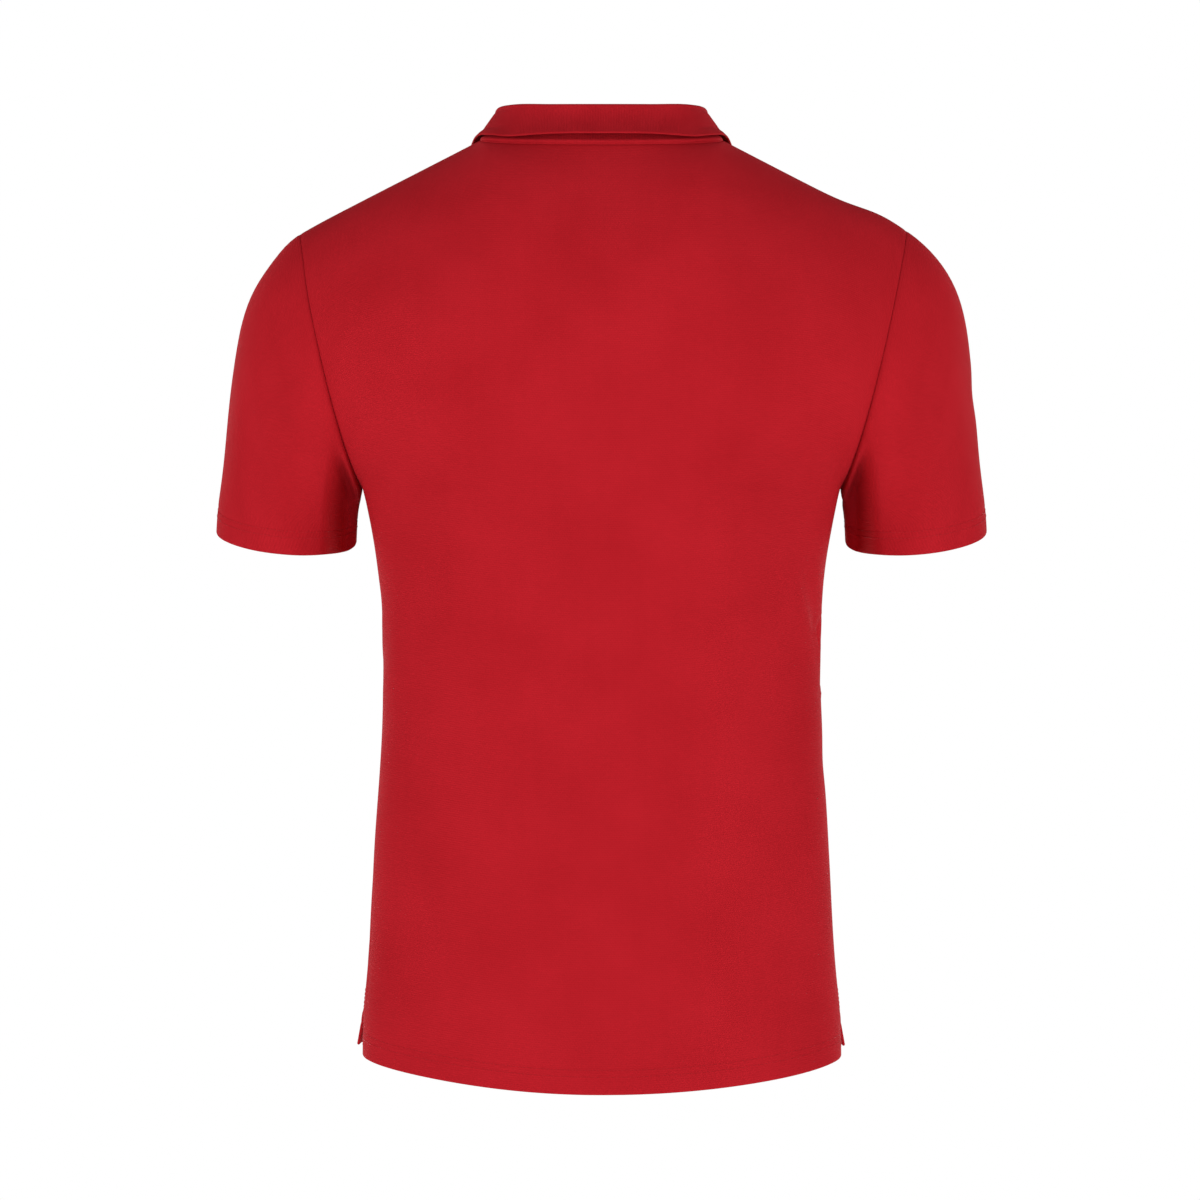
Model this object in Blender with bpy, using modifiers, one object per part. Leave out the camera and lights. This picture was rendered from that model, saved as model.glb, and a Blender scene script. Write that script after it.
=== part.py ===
"""Polo shirt, short sleeved, filled out with no wearer.

Metres, +Z up. The front faces -Y and the wearer's left is +X. The origin lies between the two points where
the shoulder seams meet the neck, 10 mm in front of the line that joins them: a wearer's shoulders hold the
shirt up there. Each cut piece is a closed wall of cloth: its outer points are worked out from the sizes below,
its inner points lie one cloth thickness further in, and pieces that are sewn together share a mitred seam with
a fine gap.
"""
import bpy
import numpy as np
from mathutils import Vector
from mathutils.bvhtree import BVHTree

# ---- Cloth ----
CLOTH = 0.0015            # thickness of the knit, as built
SEAM_GAP = 0.0003         # between two pieces at their seam
SHARPEST_SEAM = 0.35      # sine of half the angle at which a seam's gap still keeps its full width
TINY = 1e-12              # keeps a zero vector's direction defined
MITRE_LIMIT = 2.2         # longest mitre at a sharp seam, in cloth thicknesses
RED = (0.462, 0.0116, 0.0194, 1.0)
BUTTON_RED = (0.330, 0.0090, 0.0150, 1.0)

# ---- Sides of the body ----
BACK, FRONT = 1, -1       # sign of Y

# ---- Body, one row for each level from hem to underarm ----
TORSO = np.array([
    # level, half width, back depth, front depth, squareness of the section
    (-0.706, 0.1832, 0.113, 0.116, 2.45),
    (-0.664, 0.1803, 0.112, 0.115, 2.45),
    (-0.618, 0.1761, 0.110, 0.115, 2.45),
    (-0.528, 0.1709, 0.105, 0.113, 2.40),
    (-0.450, 0.1661, 0.102, 0.113, 2.40),
    (-0.392, 0.1650, 0.104, 0.116, 2.40),
    (-0.346, 0.1663, 0.107, 0.120, 2.40),
    (-0.300, 0.1718, 0.110, 0.123, 2.40),
    (-0.262, 0.1800, 0.112, 0.124, 2.40),
], dtype=[("level", float), ("half_width", float), ("back", float), ("front", float), ("squareness", float)])
UNDERARM_LEVEL = -0.262
HEM = {BACK: (-0.7057, -0.6885), FRONT: (-0.694, -0.6830)}    # level at the middle, level at the sides
VENT_LEVEL = -0.650
VENT_SPREAD = {BACK: (-0.003, 0.004), FRONT: (0.0022, -0.006)}  # how far a vent's corner moves, X and Y
BLADE_LEVEL = -0.165      # widest level of the upper back and chest, at the middle
BLADE_DEPTH = {BACK: 0.1165, FRONT: 0.1250}
BLADE_SQUARENESS = 2.35

# ---- Folds of the back at the wearer's right side, where the waist takes up the cloth ----
FOLDS = np.array([
    # from the side seam and level of the upper end, of the lower end, half width, depth (ridge: negative)
    (0.066, -0.322, 0.016, -0.412, 0.013, 0.0035),
    (0.048, -0.342, 0.008, -0.418, 0.012, -0.0020),
], dtype=[(name, float) for name in ("from_side", "level", "to_side", "to_level", "width", "depth")])
FOLD_EDGE = 0.012         # a fold dies out over this much towards a seam

# ---- Armhole ----
SHOULDER = np.array([0.2280, 0.005, -0.0700])   # where the shoulder seam meets the sleeve
UNDERARM_X = 0.1800
ARMHOLE_DEPTH = {BACK: 0.076, FRONT: 0.070}
ARMHOLE_SCOOP = {BACK: 0.0, FRONT: 0.008}       # cut in towards the chest
ARMHOLE_TURN = np.radians(80)                   # from the underarm to the blade level

# ---- Neck ----
NECK_SIDE = np.array([0.0920, 0.010, 0.0000])   # where the shoulder seam meets the neck
NECK_BACK = np.array([0.0000, 0.070, -0.0100])
NECK_FRONT = np.array([0.0000, -0.096, -0.0880])
NECK_SQUARENESS = {BACK: 2.3, FRONT: 2.1}
NECK_DROP = {BACK: 0.9, FRONT: 1.7}             # how late the seam drops towards the middle

# Run and rise of the panels at the top edge: over the shoulder, beside the neck, up the neck's middle
TOP_HEADINGS = ((1.0, 0.0), (0.95, 0.22), (0.60, 0.80))
TOP_PULL = 1.05           # how long those headings hold, in spans from the blade level

# ---- Sleeve ----
CUFF_CENTRE = np.array([0.2385, -0.026, -0.2975])
CUFF_HALF_WIDTH = 0.0525
CUFF_HALF_DEPTH = 0.0580
CUFF_TILT_X = 0.0045      # the outer side is this much higher than the centre
CUFF_TILT_Y = -0.0140     # the back side is this much lower
UNDER_LEAVE, UNDER_ARRIVE = (0.40, 0.0, -0.92), (0.05, -0.10, -1.0)      # headings of the sleeve's inner line
OVER_LEAVE, OVER_ARRIVE = (0.90, 0.0, -0.43), (0.085, -0.10, -1.0)       # headings of its outer line
BACK_LEAVE = 0.30         # how far the sleeve swells to the back and front as it leaves the seam
UNDER_PULL, OVER_PULL = (0.60, 0.75), (0.72, 1.30)                       # how long the headings hold

# ---- Tuck of the sleeve's cloth beside the body, below the armhole's back and front ----
TUCK_DEPTH = {BACK: 0.030, FRONT: 0.009}
TUCK_TURNS = np.radians((119, 150))     # round from the outer line it starts at the first, whole at the second
TUCK_SWING = 0.7                        # it fades to the inner line where the turn's sine is less than this
TUCK_BELOW_SEAM = (0.006, 0.030)        # it starts the first distance below the seam, whole at the second
TUCK_AT_CUFF = 0.6                      # share of it that is left at the cuff

# ---- Collar: half of it, from the back's middle (0) over the shoulder seam (0.4) to the front end (1) ----
NECK_SIDE_AROUND = 0.4
COLLAR = np.array([
    # around, fold line X Y Z, leaf's free edge X Y Z
    (0.00, 0.0000, 0.0580, 0.0194, 0.0000, 0.0755, -0.0020),
    (0.15, 0.0355, 0.0535, 0.0199, 0.0405, 0.0710, -0.0020),
    (0.30, 0.0655, 0.0350, 0.0219, 0.0770, 0.0500, -0.0005),
    (0.40, 0.0772, 0.0090, 0.0224, 0.0960, 0.0150, 0.0036),
    (0.55, 0.0735, -0.0290, 0.0130, 0.1040, -0.0310, -0.0140),
    (0.70, 0.0530, -0.0610, -0.0130, 0.0945, -0.0760, -0.0500),
    (0.85, 0.0290, -0.0820, -0.0420, 0.0750, -0.1055, -0.0880),
    (1.00, 0.0070, -0.0900, -0.0620, 0.0530, -0.1215, -0.1200),
], dtype=[(name, float) for name in ("around", "fold_x", "fold_y", "fold_z", "edge_x", "edge_y", "edge_z")])
FOLD_RADIUS = 0.0021      # of the collar's outer surface over the fold
FOLD_TURNS = (180, 135, 90, 45, 0)     # degrees round the fold, from the inside to the outside
FOLD_ROWS = 1 + len(FOLD_TURNS)
STAND_BELOW_FOLD = 0.0040
STAND_CELLS = 3
LEAF_CELLS = 6
LEAF_SPRING = 0.15        # how far the leaf springs out as it leaves the fold, for each unit down
LEAF_FLARE = 0.35         # how far it flares at its free edge
LEAF_REST = 0.0008        # the leaf clears the cloth that it lies on by this much
UNDER_SHARE = 0.8         # a point lies under a cloth when it is this square below it
UNDER_REACH = 0.020       # and no further off than this
LIE_PASSES = 4            # times that the leaf is lifted where it still touches
LIE_STEP = 0.5            # it is felt at this many cells apart

# ---- Placket ----
PLACKET_STEPS = (0.016, 0.004)    # columns this far from the middle: the strip's edge, and the collar's end
PLACKET_OVERLAP = 0.15            # how far the upper strip lies past the slit, in cells
BUTTON_RADIUS = 0.0055
BUTTON_THICKNESS = 0.0022
BUTTON_DROPS = (0.016, 0.069, 0.122)   # below the neck seam
BUTTON_LIFT = 0.0009      # thread between the strip and the button
BUTTON_SIDES = 20

# ---- Cells of the panels ----
SHOULDER_CELLS = 7
NECK_CELLS = {BACK: 6, FRONT: 7}
PLACKET_CELLS = {BACK: 0, FRONT: len(PLACKET_STEPS)}
VENT_CELLS = 2
BODY_CELLS = 13
LOWER_ARMHOLE_CELLS = 6
UPPER_ARMHOLE_CELLS = 7
SLEEVE_CELLS = 8
PLACKET_ROWS = 11                               # cells of the front that the placket's slit runs down


def unit(vectors):
    """Vectors brought to length 1, along the last axis."""
    vectors = np.asarray(vectors, dtype=float)
    return vectors / np.linalg.norm(vectors, axis=-1, keepdims=True)


def read(table, column, at):
    """A column of a table read at a value of its first column, on a smooth curve through its rows."""
    knots, values = table[table.dtype.names[0]], table[column]
    slopes = np.gradient(values, knots)
    k = int(np.clip(np.searchsorted(knots, at) - 1, 0, len(knots) - 2))
    span = knots[k + 1] - knots[k]
    return curve(values[k], values[k + 1], slopes[k] * span, slopes[k + 1] * span, (at - knots[k]) / span)


def blend(first, last, share):
    """A value or a vector a share of the way from the first to the last."""
    first, last = np.asarray(first, dtype=float), np.asarray(last, dtype=float)
    return first + (last - first) * share


def curve(start, end, leave, arrive, s):
    """Cubic from start to end that leaves and arrives along the given tangents, at s from 0 to 1."""
    return ((2 * s**3 - 3 * s**2 + 1) * start + (s**3 - 2 * s**2 + s) * leave
            + (3 * s**2 - 2 * s**3) * end + (s**3 - s**2) * arrive)


def mirrored(points):
    """Points on the other side of the body."""
    return np.asarray(points) * np.array([-1, 1, 1])


def run_along(line):
    """Distance of each point from the start of its line."""
    return np.concatenate([[0], np.cumsum(np.linalg.norm(np.diff(line, axis=0), axis=1))])


def spread(line, marks):
    """Points on a fine line at the given shares of its length."""
    run = run_along(line)
    return np.stack([np.interp(marks, run / run[-1], line[:, k]) for k in range(3)], axis=1)


def cell_marks(line, cells, side):
    """Shares of a row's length, from its side to the middle, with the placket's columns in their places."""
    if side == BACK:
        return np.linspace(0, 1, cells + 1)
    placket = 1 - np.array(PLACKET_STEPS) / run_along(line)[-1]
    return np.concatenate([np.linspace(0, placket[0], cells - len(placket) + 1), placket[1:], [1.0]])


def armhole(turn, side):
    """Point of the left armhole's seam below the blade level: turn 0 is the underarm."""
    low, high = UNDERARM_LEVEL, SHOULDER[2]
    rise = (1 - np.cos(turn)) / 2
    x = UNDERARM_X + (SHOULDER[0] - UNDERARM_X) * rise**0.8 - ARMHOLE_SCOOP[side] * np.sin(turn) ** 2
    y = side * ARMHOLE_DEPTH[side] * np.sin(turn) ** 0.95
    return np.array([x, y, low + (high - low) * rise])


def section(edge, depth, middle_level, squareness, side, cells):
    """Half a row: from a side edge round to the middle, on a superellipse that passes through the edge."""
    reach = edge[0] / (1 - abs(edge[1] / depth) ** squareness) ** (1 / squareness)
    start = np.arccos(min(1.0, (edge[0] / reach) ** (squareness / 2)))
    turn = np.linspace(start, np.pi / 2, 120)
    x = reach * np.cos(turn) ** (2 / squareness)
    y = side * depth * np.sin(turn) ** (2 / squareness)
    z = middle_level + (edge[2] - middle_level) * (x / edge[0]) ** 2
    x[-1] = 0.0
    line = np.stack([x, y, z], axis=1)
    line[0] = edge
    return spread(line, cell_marks(line, cells, side))


def body_row(level, side, cells):
    """Half a row of the body below the underarm; below the vent's top it eases into the hem's own curve."""
    width = read(TORSO, "half_width", level)
    depth = read(TORSO, "back" if side == BACK else "front", level)
    row = section((width, 0.0, level), depth, level, read(TORSO, "squareness", level), side, cells)
    open_share = np.clip((VENT_LEVEL - level) / (VENT_LEVEL - TORSO["level"][0]), 0, 1)
    near_edge = (row[:, 0] / width) ** 10 * open_share
    middle, corner = HEM[side]
    hem = middle + (corner - middle) * (row[:, 0] / width) ** 2
    row[:, 2] += (hem - TORSO["level"][0]) * open_share
    row[:, 0] += VENT_SPREAD[side][0] * near_edge
    row[:, 1] += VENT_SPREAD[side][1] * near_edge
    return row


def upper_row(share, side, cells):
    """Half a row between the underarm (share 0) and the blade level (share 1), from armhole to middle."""
    depth_name = "back" if side == BACK else "front"
    depth = TORSO[depth_name][-1] + (BLADE_DEPTH[side] - TORSO[depth_name][-1]) * share
    squareness = TORSO["squareness"][-1] + (BLADE_SQUARENESS - TORSO["squareness"][-1]) * share
    level = UNDERARM_LEVEL + (BLADE_LEVEL - UNDERARM_LEVEL) * share
    return section(armhole(ARMHOLE_TURN * share, side), depth, level, squareness, side, cells)


def neckline(side):
    """Fine line of half the neck seam, from the shoulder seam to the middle."""
    middle = NECK_BACK if side == BACK else NECK_FRONT
    turn = np.linspace(0, np.pi / 2, 120)
    power = 2 / NECK_SQUARENESS[side]
    x = NECK_SIDE[0] * np.cos(turn) ** power
    y = NECK_SIDE[1] + (middle[1] - NECK_SIDE[1]) * np.sin(turn) ** power
    z = NECK_SIDE[2] + (middle[2] - NECK_SIDE[2]) * np.sin(turn) ** NECK_DROP[side]
    x[-1] = 0.0
    return np.stack([x, y, z], axis=1)


def top_row(side):
    """Half the top edge: the shoulder seam inwards to the neck, then the neck seam to the middle."""
    steps = np.linspace(0, 1, SHOULDER_CELLS + 1)[:, None]
    shoulder = SHOULDER + (NECK_SIDE - SHOULDER) * steps
    line = neckline(side)
    neck = spread(line, cell_marks(line, NECK_CELLS[side] + PLACKET_CELLS[side], side))
    return np.concatenate([shoulder, neck[1:]])


def eased(share):
    """A share from 0 to 1 that starts and ends gently."""
    return (1 - np.cos(np.pi * share)) / 2


def top_headings(side, top):
    """Direction in which each column of half a panel reaches the top edge."""
    over_shoulder, beside_neck, up_neck = [unit([0.0, -side * run, rise]) for run, rise in TOP_HEADINGS]
    shoulder, neck = [run_along(line) for line in (top[:SHOULDER_CELLS + 1], top[SHOULDER_CELLS:])]
    over_shoulder = blend(over_shoulder, beside_neck, eased(shoulder / shoulder[-1])[:, None])
    round_neck = blend(beside_neck, up_neck, eased(neck / neck[-1])[1:, None])
    return unit(np.concatenate([over_shoulder, round_neck]))


def panel(side):
    """Outer points of the back or front: rows from hem to top edge, columns from wearer's left to right."""
    cells = SHOULDER_CELLS + NECK_CELLS[side] + PLACKET_CELLS[side]
    levels = np.concatenate([np.linspace(TORSO["level"][0], VENT_LEVEL, VENT_CELLS + 1)[:-1],
                             np.linspace(VENT_LEVEL, UNDERARM_LEVEL, BODY_CELLS + 1)])
    rows = [body_row(level, side, cells) for level in levels]
    rows += [upper_row(share, side, cells) for share in np.linspace(0, 1, LOWER_ARMHOLE_CELLS + 1)[1:]]
    blade, top = rows[-1], top_row(side)
    reach = np.linalg.norm(top - blade, axis=1)[:, None]
    leave = unit(blade - upper_row(0.97, side, cells)) * reach * TOP_PULL
    arrive = top_headings(side, top) * reach * TOP_PULL
    rows += [curve(blade, top, leave, arrive, s) for s in np.linspace(0, 1, UPPER_ARMHOLE_CELLS + 1)[1:]]
    half = np.array(rows)
    return np.concatenate([half, mirrored(half[:, -2::-1])], axis=1)


def folded(grid):
    """The back with its folds pressed in, measured from the right side seam."""
    from_side = np.array([run_along(row[::-1])[::-1] for row in grid])
    normals = facing(grid.reshape(-1, 3), grid_faces(*grid.shape[:2])).reshape(grid.shape)
    depth = np.zeros(grid.shape[:2])
    for fold in FOLDS:
        start = (fold["from_side"], fold["level"])
        run = (fold["to_side"] - start[0], fold["to_level"] - start[1])
        along = ((from_side - start[0]) * run[0] + (grid[..., 2] - start[1]) * run[1]) / np.dot(run, run)
        nearest = np.clip(along, 0, 1)
        off = np.hypot(from_side - start[0] - run[0] * nearest, grid[..., 2] - start[1] - run[1] * nearest)
        depth += fold["depth"] * np.exp(-(off / fold["width"]) ** 2)
    return grid - normals * (depth * np.clip(from_side / FOLD_EDGE, 0, 1))[..., None]


def armhole_seam(back, front):
    """The left armhole's whole seam, from the panels' own edges: underarm, back, shoulder, front."""
    first = VENT_CELLS + BODY_CELLS
    return np.concatenate([back[first:, 0], front[-2:first:-1, 0]])


def sleeve(back, front):
    """Outer points of the left sleeve: rows from the armhole to the cuff, columns once round, closed."""
    seam = armhole_seam(back, front)
    count = len(seam)
    share = np.arange(count) / count                       # 0 underarm, a quarter back, a half shoulder
    turn = np.pi - 2 * np.pi * share
    cuff = CUFF_CENTRE + np.stack([CUFF_HALF_WIDTH * np.cos(turn), CUFF_HALF_DEPTH * np.sin(turn),
                                   CUFF_TILT_X * np.cos(turn) + CUFF_TILT_Y * np.sin(turn)], axis=1)
    up = (1 + np.cos(turn))[:, None] / 2                   # 0 on the inner line, 1 on the outer line
    leave = blend(UNDER_LEAVE, OVER_LEAVE, up) + np.outer(np.sin(turn), [0.0, BACK_LEAVE, 0.0])
    arrive = blend(UNDER_ARRIVE, OVER_ARRIVE, up)
    reach = np.linalg.norm(cuff - seam, axis=1)[:, None]
    leave = unit(leave) * reach * blend(UNDER_PULL[0], OVER_PULL[0], up)
    arrive = unit(arrive) * reach * blend(UNDER_PULL[1], OVER_PULL[1], up)
    shares = np.linspace(0, 1, SLEEVE_CELLS + 1)
    return tucked(np.array([curve(seam, cuff, leave, arrive, s) for s in shares]), turn)


def tucked(grid, turn):
    """The left sleeve with its cloth beside the body tucked in towards the sleeve's own middle."""
    inside = eased(np.clip((np.abs(turn) - TUCK_TURNS[0]) / (TUCK_TURNS[1] - TUCK_TURNS[0]), 0, 1))
    depth = np.clip(np.sin(turn) / TUCK_SWING, -1, 1) * inside
    depth = depth * np.where(turn > 0, TUCK_DEPTH[BACK], TUCK_DEPTH[FRONT])
    from_seam = np.array([run_along(line) for line in grid.swapaxes(0, 1)]).T
    first, whole = TUCK_BELOW_SEAM
    begun = eased(np.clip((from_seam - first) / (whole - first), 0, 1))
    grid[..., 1] -= depth * begun * blend(1.0, TUCK_AT_CUFF, from_seam / from_seam[-1])
    return grid


def grid_faces(rows, columns, closed=False, keep=lambda row, column: True):
    """Quads of a grid of points, with the outer side where rows run up and columns run from left to right."""
    wrap = columns if closed else columns - 1
    quads = []
    for row in range(rows - 1):
        for column in range(wrap):
            if keep(row, column):
                after = (column + 1) % columns
                quads.append((row * columns + column, row * columns + after,
                              (row + 1) * columns + after, (row + 1) * columns + column))
    return quads


def flipped(quads):
    """The quads facing the other way, with the same diagonals."""
    return [(a, d, c, b) for a, b, c, d in quads]


def facing(points, quads):
    """Unit normal of each point, from the quads round it."""
    corners = points[np.array(quads)]
    across = np.cross(corners[:, 2] - corners[:, 0], corners[:, 3] - corners[:, 1])
    normals = np.zeros_like(points)
    for k in range(4):
        np.add.at(normals, np.array(quads)[:, k], across)
    return unit(normals)


def mitre(normals):
    """The vector that lies one unit above every plane with these normals, kept short at sharp corners."""
    total = np.sum(normals, axis=0)
    reach = total * len(normals) / max(total @ total, 1e-6)
    return reach * min(1.0, MITRE_LIMIT / np.linalg.norm(reach))


def edges_of(quads):
    """The directed edges that only one quad has, each with its quad."""
    seen = {}
    for quad in quads:
        for a, b in zip(quad, quad[1:] + quad[:1]):
            seen[(a, b)] = quad
    return {edge: quad for edge, quad in seen.items() if edge[::-1] not in seen}


def seam_allowance(points, quads):
    """How far each point on the piece's edges draws back, so that a fine gap stays between sewn pieces."""
    inward = {}
    for (a, b), quad in edges_of(quads).items():
        corner = points[list(quad)]
        face = unit(np.cross(corner[2] - corner[0], corner[3] - corner[1]))
        direction = unit(np.cross(face, points[b] - points[a]))
        for point in (a, b):
            inward.setdefault(point, []).append(direction)
    allowance = np.zeros_like(points)
    for point, directions in inward.items():
        allowance[point] = mitre(directions) * SEAM_GAP / 2
    return allowance


class Piece:
    """A cut piece of cloth: its outer points and the quads between them, facing out."""

    def __init__(self, name, points, quads):
        used = sorted({corner for quad in quads for corner in quad})
        place = {old: new for new, old in enumerate(used)}
        self.name = name
        self.points = np.asarray(points, dtype=float).reshape(-1, 3)[used]
        self.quads = [tuple(place[corner] for corner in quad) for quad in quads]
        self.facing = facing(self.points, self.quads)
        self.depth = self.facing.copy()

    def keys(self):
        return [tuple(key) for key in np.round(self.points, 6)]


def sew(pieces):
    """Gives the pieces one shared mitre wherever their points meet at a seam."""
    meeting = {}
    for piece in pieces:
        for key, normal in zip(piece.keys(), piece.facing):
            meeting.setdefault(key, []).append(normal)
    for piece in pieces:
        piece.depth = np.array([mitre(meeting[key]) for key in piece.keys()])


def rim(a, b, keys, count):
    """Two triangles that close the wall along an edge; a neighbour sewn to it splits its rim the same way."""
    if keys[a] < keys[b]:
        return [(b, a, b + count), (a, a + count, b + count)]
    return [(b, a, a + count), (b, a + count, b + count)]


def wall(piece, collection, material):
    """Makes the piece's solid: outer skin, inner skin one cloth thickness in, and a rim round each edge."""
    allowance = seam_allowance(piece.points, piece.quads)
    lean = np.linalg.norm(np.cross(unit(allowance + TINY), unit(piece.depth)), axis=1)[:, None]
    outer = piece.points + allowance / np.maximum(lean, SHARPEST_SEAM)
    inner = outer - piece.depth * CLOTH
    count, keys = len(outer), piece.keys()
    faces = []
    for a, b, c, d in piece.quads:
        faces += [(a, b, c), (a, c, d)]
        faces += [(a + count, c + count, b + count), (a + count, d + count, c + count)]
    for a, b in edges_of(piece.quads):
        faces += rim(a, b, keys, count)
    mesh = bpy.data.meshes.new(piece.name)
    mesh.from_pydata(np.concatenate([outer, inner]).tolist(), [], faces)
    mesh.shade_smooth()
    mesh.set_sharp_from_angle(angle=np.radians(40))
    mesh.materials.append(material)
    shape = bpy.data.objects.new(piece.name, mesh)
    collection.objects.link(shape)
    return shape


def neck_ring(back, front):
    """The neck seam from the left front end round the back to the right, and how far round each point is."""
    middle_front, middle_back = front.shape[1] // 2, back.shape[1] // 2
    left_front = front[-1, SHOULDER_CELLS:middle_front]    # from the shoulder seam to the collar's end
    left_back = back[-1, SHOULDER_CELLS:middle_back + 1]
    front_run, back_run = run_along(left_front), run_along(left_back)
    front_share = NECK_SIDE_AROUND + (1 - NECK_SIDE_AROUND) * front_run / front_run[-1]
    back_share = NECK_SIDE_AROUND * (1 - back_run / back_run[-1])
    left = np.concatenate([left_front[:0:-1], left_back])
    share = np.concatenate([front_share[:0:-1], back_share])
    return np.concatenate([left, mirrored(left[-2::-1])]), np.concatenate([share, -share[-2::-1]])


def collar_line(name, around):
    """A line of the collar's table, at places from -1 (right front end) to 1 (left front end)."""
    whole = np.concatenate([COLLAR[:0:-1].copy(), COLLAR])
    whole["around"][:len(COLLAR) - 1] *= -1
    for axis in ("fold_x", "edge_x"):
        whole[axis][:len(COLLAR) - 1] *= -1
    return np.array([[read(whole, f"{name}_{axis}", place) for axis in "xyz"] for place in around])


def fold_frames(around):
    """Fold line of the collar with its outward and upward directions, square to the line."""
    step = 0.002
    fold = collar_line("fold", around)
    along = unit(collar_line("fold", around + step) - collar_line("fold", around - step))
    outward = unit(np.cross([0, 0, 1], along))
    return fold, outward, unit(np.cross(along, outward))


def stand_rows(ring, around):
    """Outer points of the stand: rows from the neck seam up to just under the fold."""
    fold, outward, upward = fold_frames(around)
    top = fold + outward * (CLOTH - FOLD_RADIUS) - upward * STAND_BELOW_FOLD
    reach = np.linalg.norm(top - ring, axis=1)[:, None]
    leave = unit(top - ring + [0, 0, 0.004]) * reach
    return np.array([curve(ring, top, leave, upward * reach, s) for s in np.linspace(0, 1, STAND_CELLS + 1)])


def leaf_rows(around):
    """Outer points of the leaf: up inside the fold, over it, and down outside to the free edge."""
    fold, outward, upward = fold_frames(around)
    edge = collar_line("edge", around)
    rows = [fold - outward * FOLD_RADIUS - upward * STAND_BELOW_FOLD]
    for turn in np.radians(FOLD_TURNS):
        rows.append(fold + (outward * np.cos(turn) + upward * np.sin(turn)) * FOLD_RADIUS)
    start = rows[-1]
    reach = np.linalg.norm(edge - start, axis=1)[:, None]
    leave = unit(outward * LEAF_SPRING - upward) * reach
    flare = unit(edge - start + outward * LEAF_FLARE * reach) * reach
    rows += [curve(start, edge, leave, flare, s) for s in np.linspace(0, 1, LEAF_CELLS + 1)[1:]]
    return np.array(rows)


def off_cloths(point, trees, lift):
    """The move that brings a point off the cloths that it lies under, or comes nearer to than the lift."""
    start = Vector(point)
    point = start.copy()
    for tree in trees:
        foot, normal, _, distance = tree.find_nearest(point)
        if (point - foot).dot(normal) < -UNDER_SHARE * distance and distance < UNDER_REACH:
            point = foot + normal * lift
        elif distance < lift:
            point = foot + (point - foot).normalized() * lift
    return np.array(point - start)


def lie_on(grid, cloths, lift):
    """A grid of points moved off pieces of cloth, until it clears them at its points and in between."""
    trees = [BVHTree.FromPolygons(cloth.points.tolist(), cloth.quads) for cloth in cloths]
    rows, columns = np.array(grid.shape[:2]) - 1
    for _ in range(LIE_PASSES):
        moves = np.zeros_like(grid)
        for row in np.arange(0, rows + 0.1, LIE_STEP):
            for column in np.arange(0, columns + 0.1, LIE_STEP):
                move = off_cloths(sample(grid, row, column), trees, lift)
                for i in {int(np.floor(row)), int(np.ceil(row))}:
                    for j in {int(np.floor(column)), int(np.ceil(column))}:
                        if move @ move > moves[i, j] @ moves[i, j]:
                            moves[i, j] = move
        grid = grid + moves
    return grid


def sample(grid, row, column):
    """Point of a grid at fractions of its rows and columns."""
    rows, columns = np.array(grid.shape[:2]) - 2
    i, j = min(int(row), rows), min(int(column), columns)
    lower = blend(grid[i, j], grid[i, j + 1], column - j)
    return blend(lower, blend(grid[i + 1, j], grid[i + 1, j + 1], column - j), row - i)


def upper_strip(front, normals):
    """Outer points of the placket's upper strip, which lies over the slit: the front's points moved out."""
    last, middle, steps = len(front) - 1, front.shape[1] // 2, len(PLACKET_STEPS)
    rows = [last - PLACKET_ROWS - PLACKET_OVERLAP, *range(last - PLACKET_ROWS, last), last - PLACKET_OVERLAP]
    columns = [middle - steps - PLACKET_OVERLAP, *range(middle - steps, middle + steps + 1),
               middle + steps + PLACKET_OVERLAP]
    return np.array([[sample(front, row, column) + unit(sample(normals, row, column)) * (CLOTH + SEAM_GAP)
                      for column in columns] for row in rows])


def button(name, seat, normal, collection, material):
    """A turned button with a rim and a dished face, on its seat."""
    radius, height = BUTTON_RADIUS, BUTTON_THICKNESS
    profile = [(0.0, 0.72), (0.62, 0.72), (0.74, 1.0), (0.92, 1.0),
               (1.0, 0.72), (1.0, 0.35), (0.85, 0.0), (0.0, 0.0)]
    mesh = bpy.data.meshes.new(name)
    points = [(share * radius, 0.0, level * height) for share, level in profile]
    mesh.from_pydata(points, [(k, k + 1) for k in range(len(points) - 1)], [])
    mesh.materials.append(material)
    shape = bpy.data.objects.new(name, mesh)
    collection.objects.link(shape)
    turned = shape.modifiers.new("turned", "SCREW")
    turned.steps = turned.render_steps = BUTTON_SIDES
    turned.use_merge_vertices = True
    turned.merge_threshold = 0.00005
    shape.rotation_mode = "QUATERNION"
    shape.rotation_quaternion = Vector((0, 0, 1)).rotation_difference(Vector(normal))
    shape.location = Vector(seat) + Vector(normal) * BUTTON_LIFT
    return shape


def finish(name, colour, roughness):
    """A plain material with the part's colour."""
    material = bpy.data.materials.new(name)
    material.use_nodes = True
    shader = material.node_tree.nodes["Principled BSDF"]
    shader.inputs["Base Color"].default_value = colour
    shader.inputs["Roughness"].default_value = roughness
    shader.inputs["Metallic"].default_value = 0.0
    return material


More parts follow.
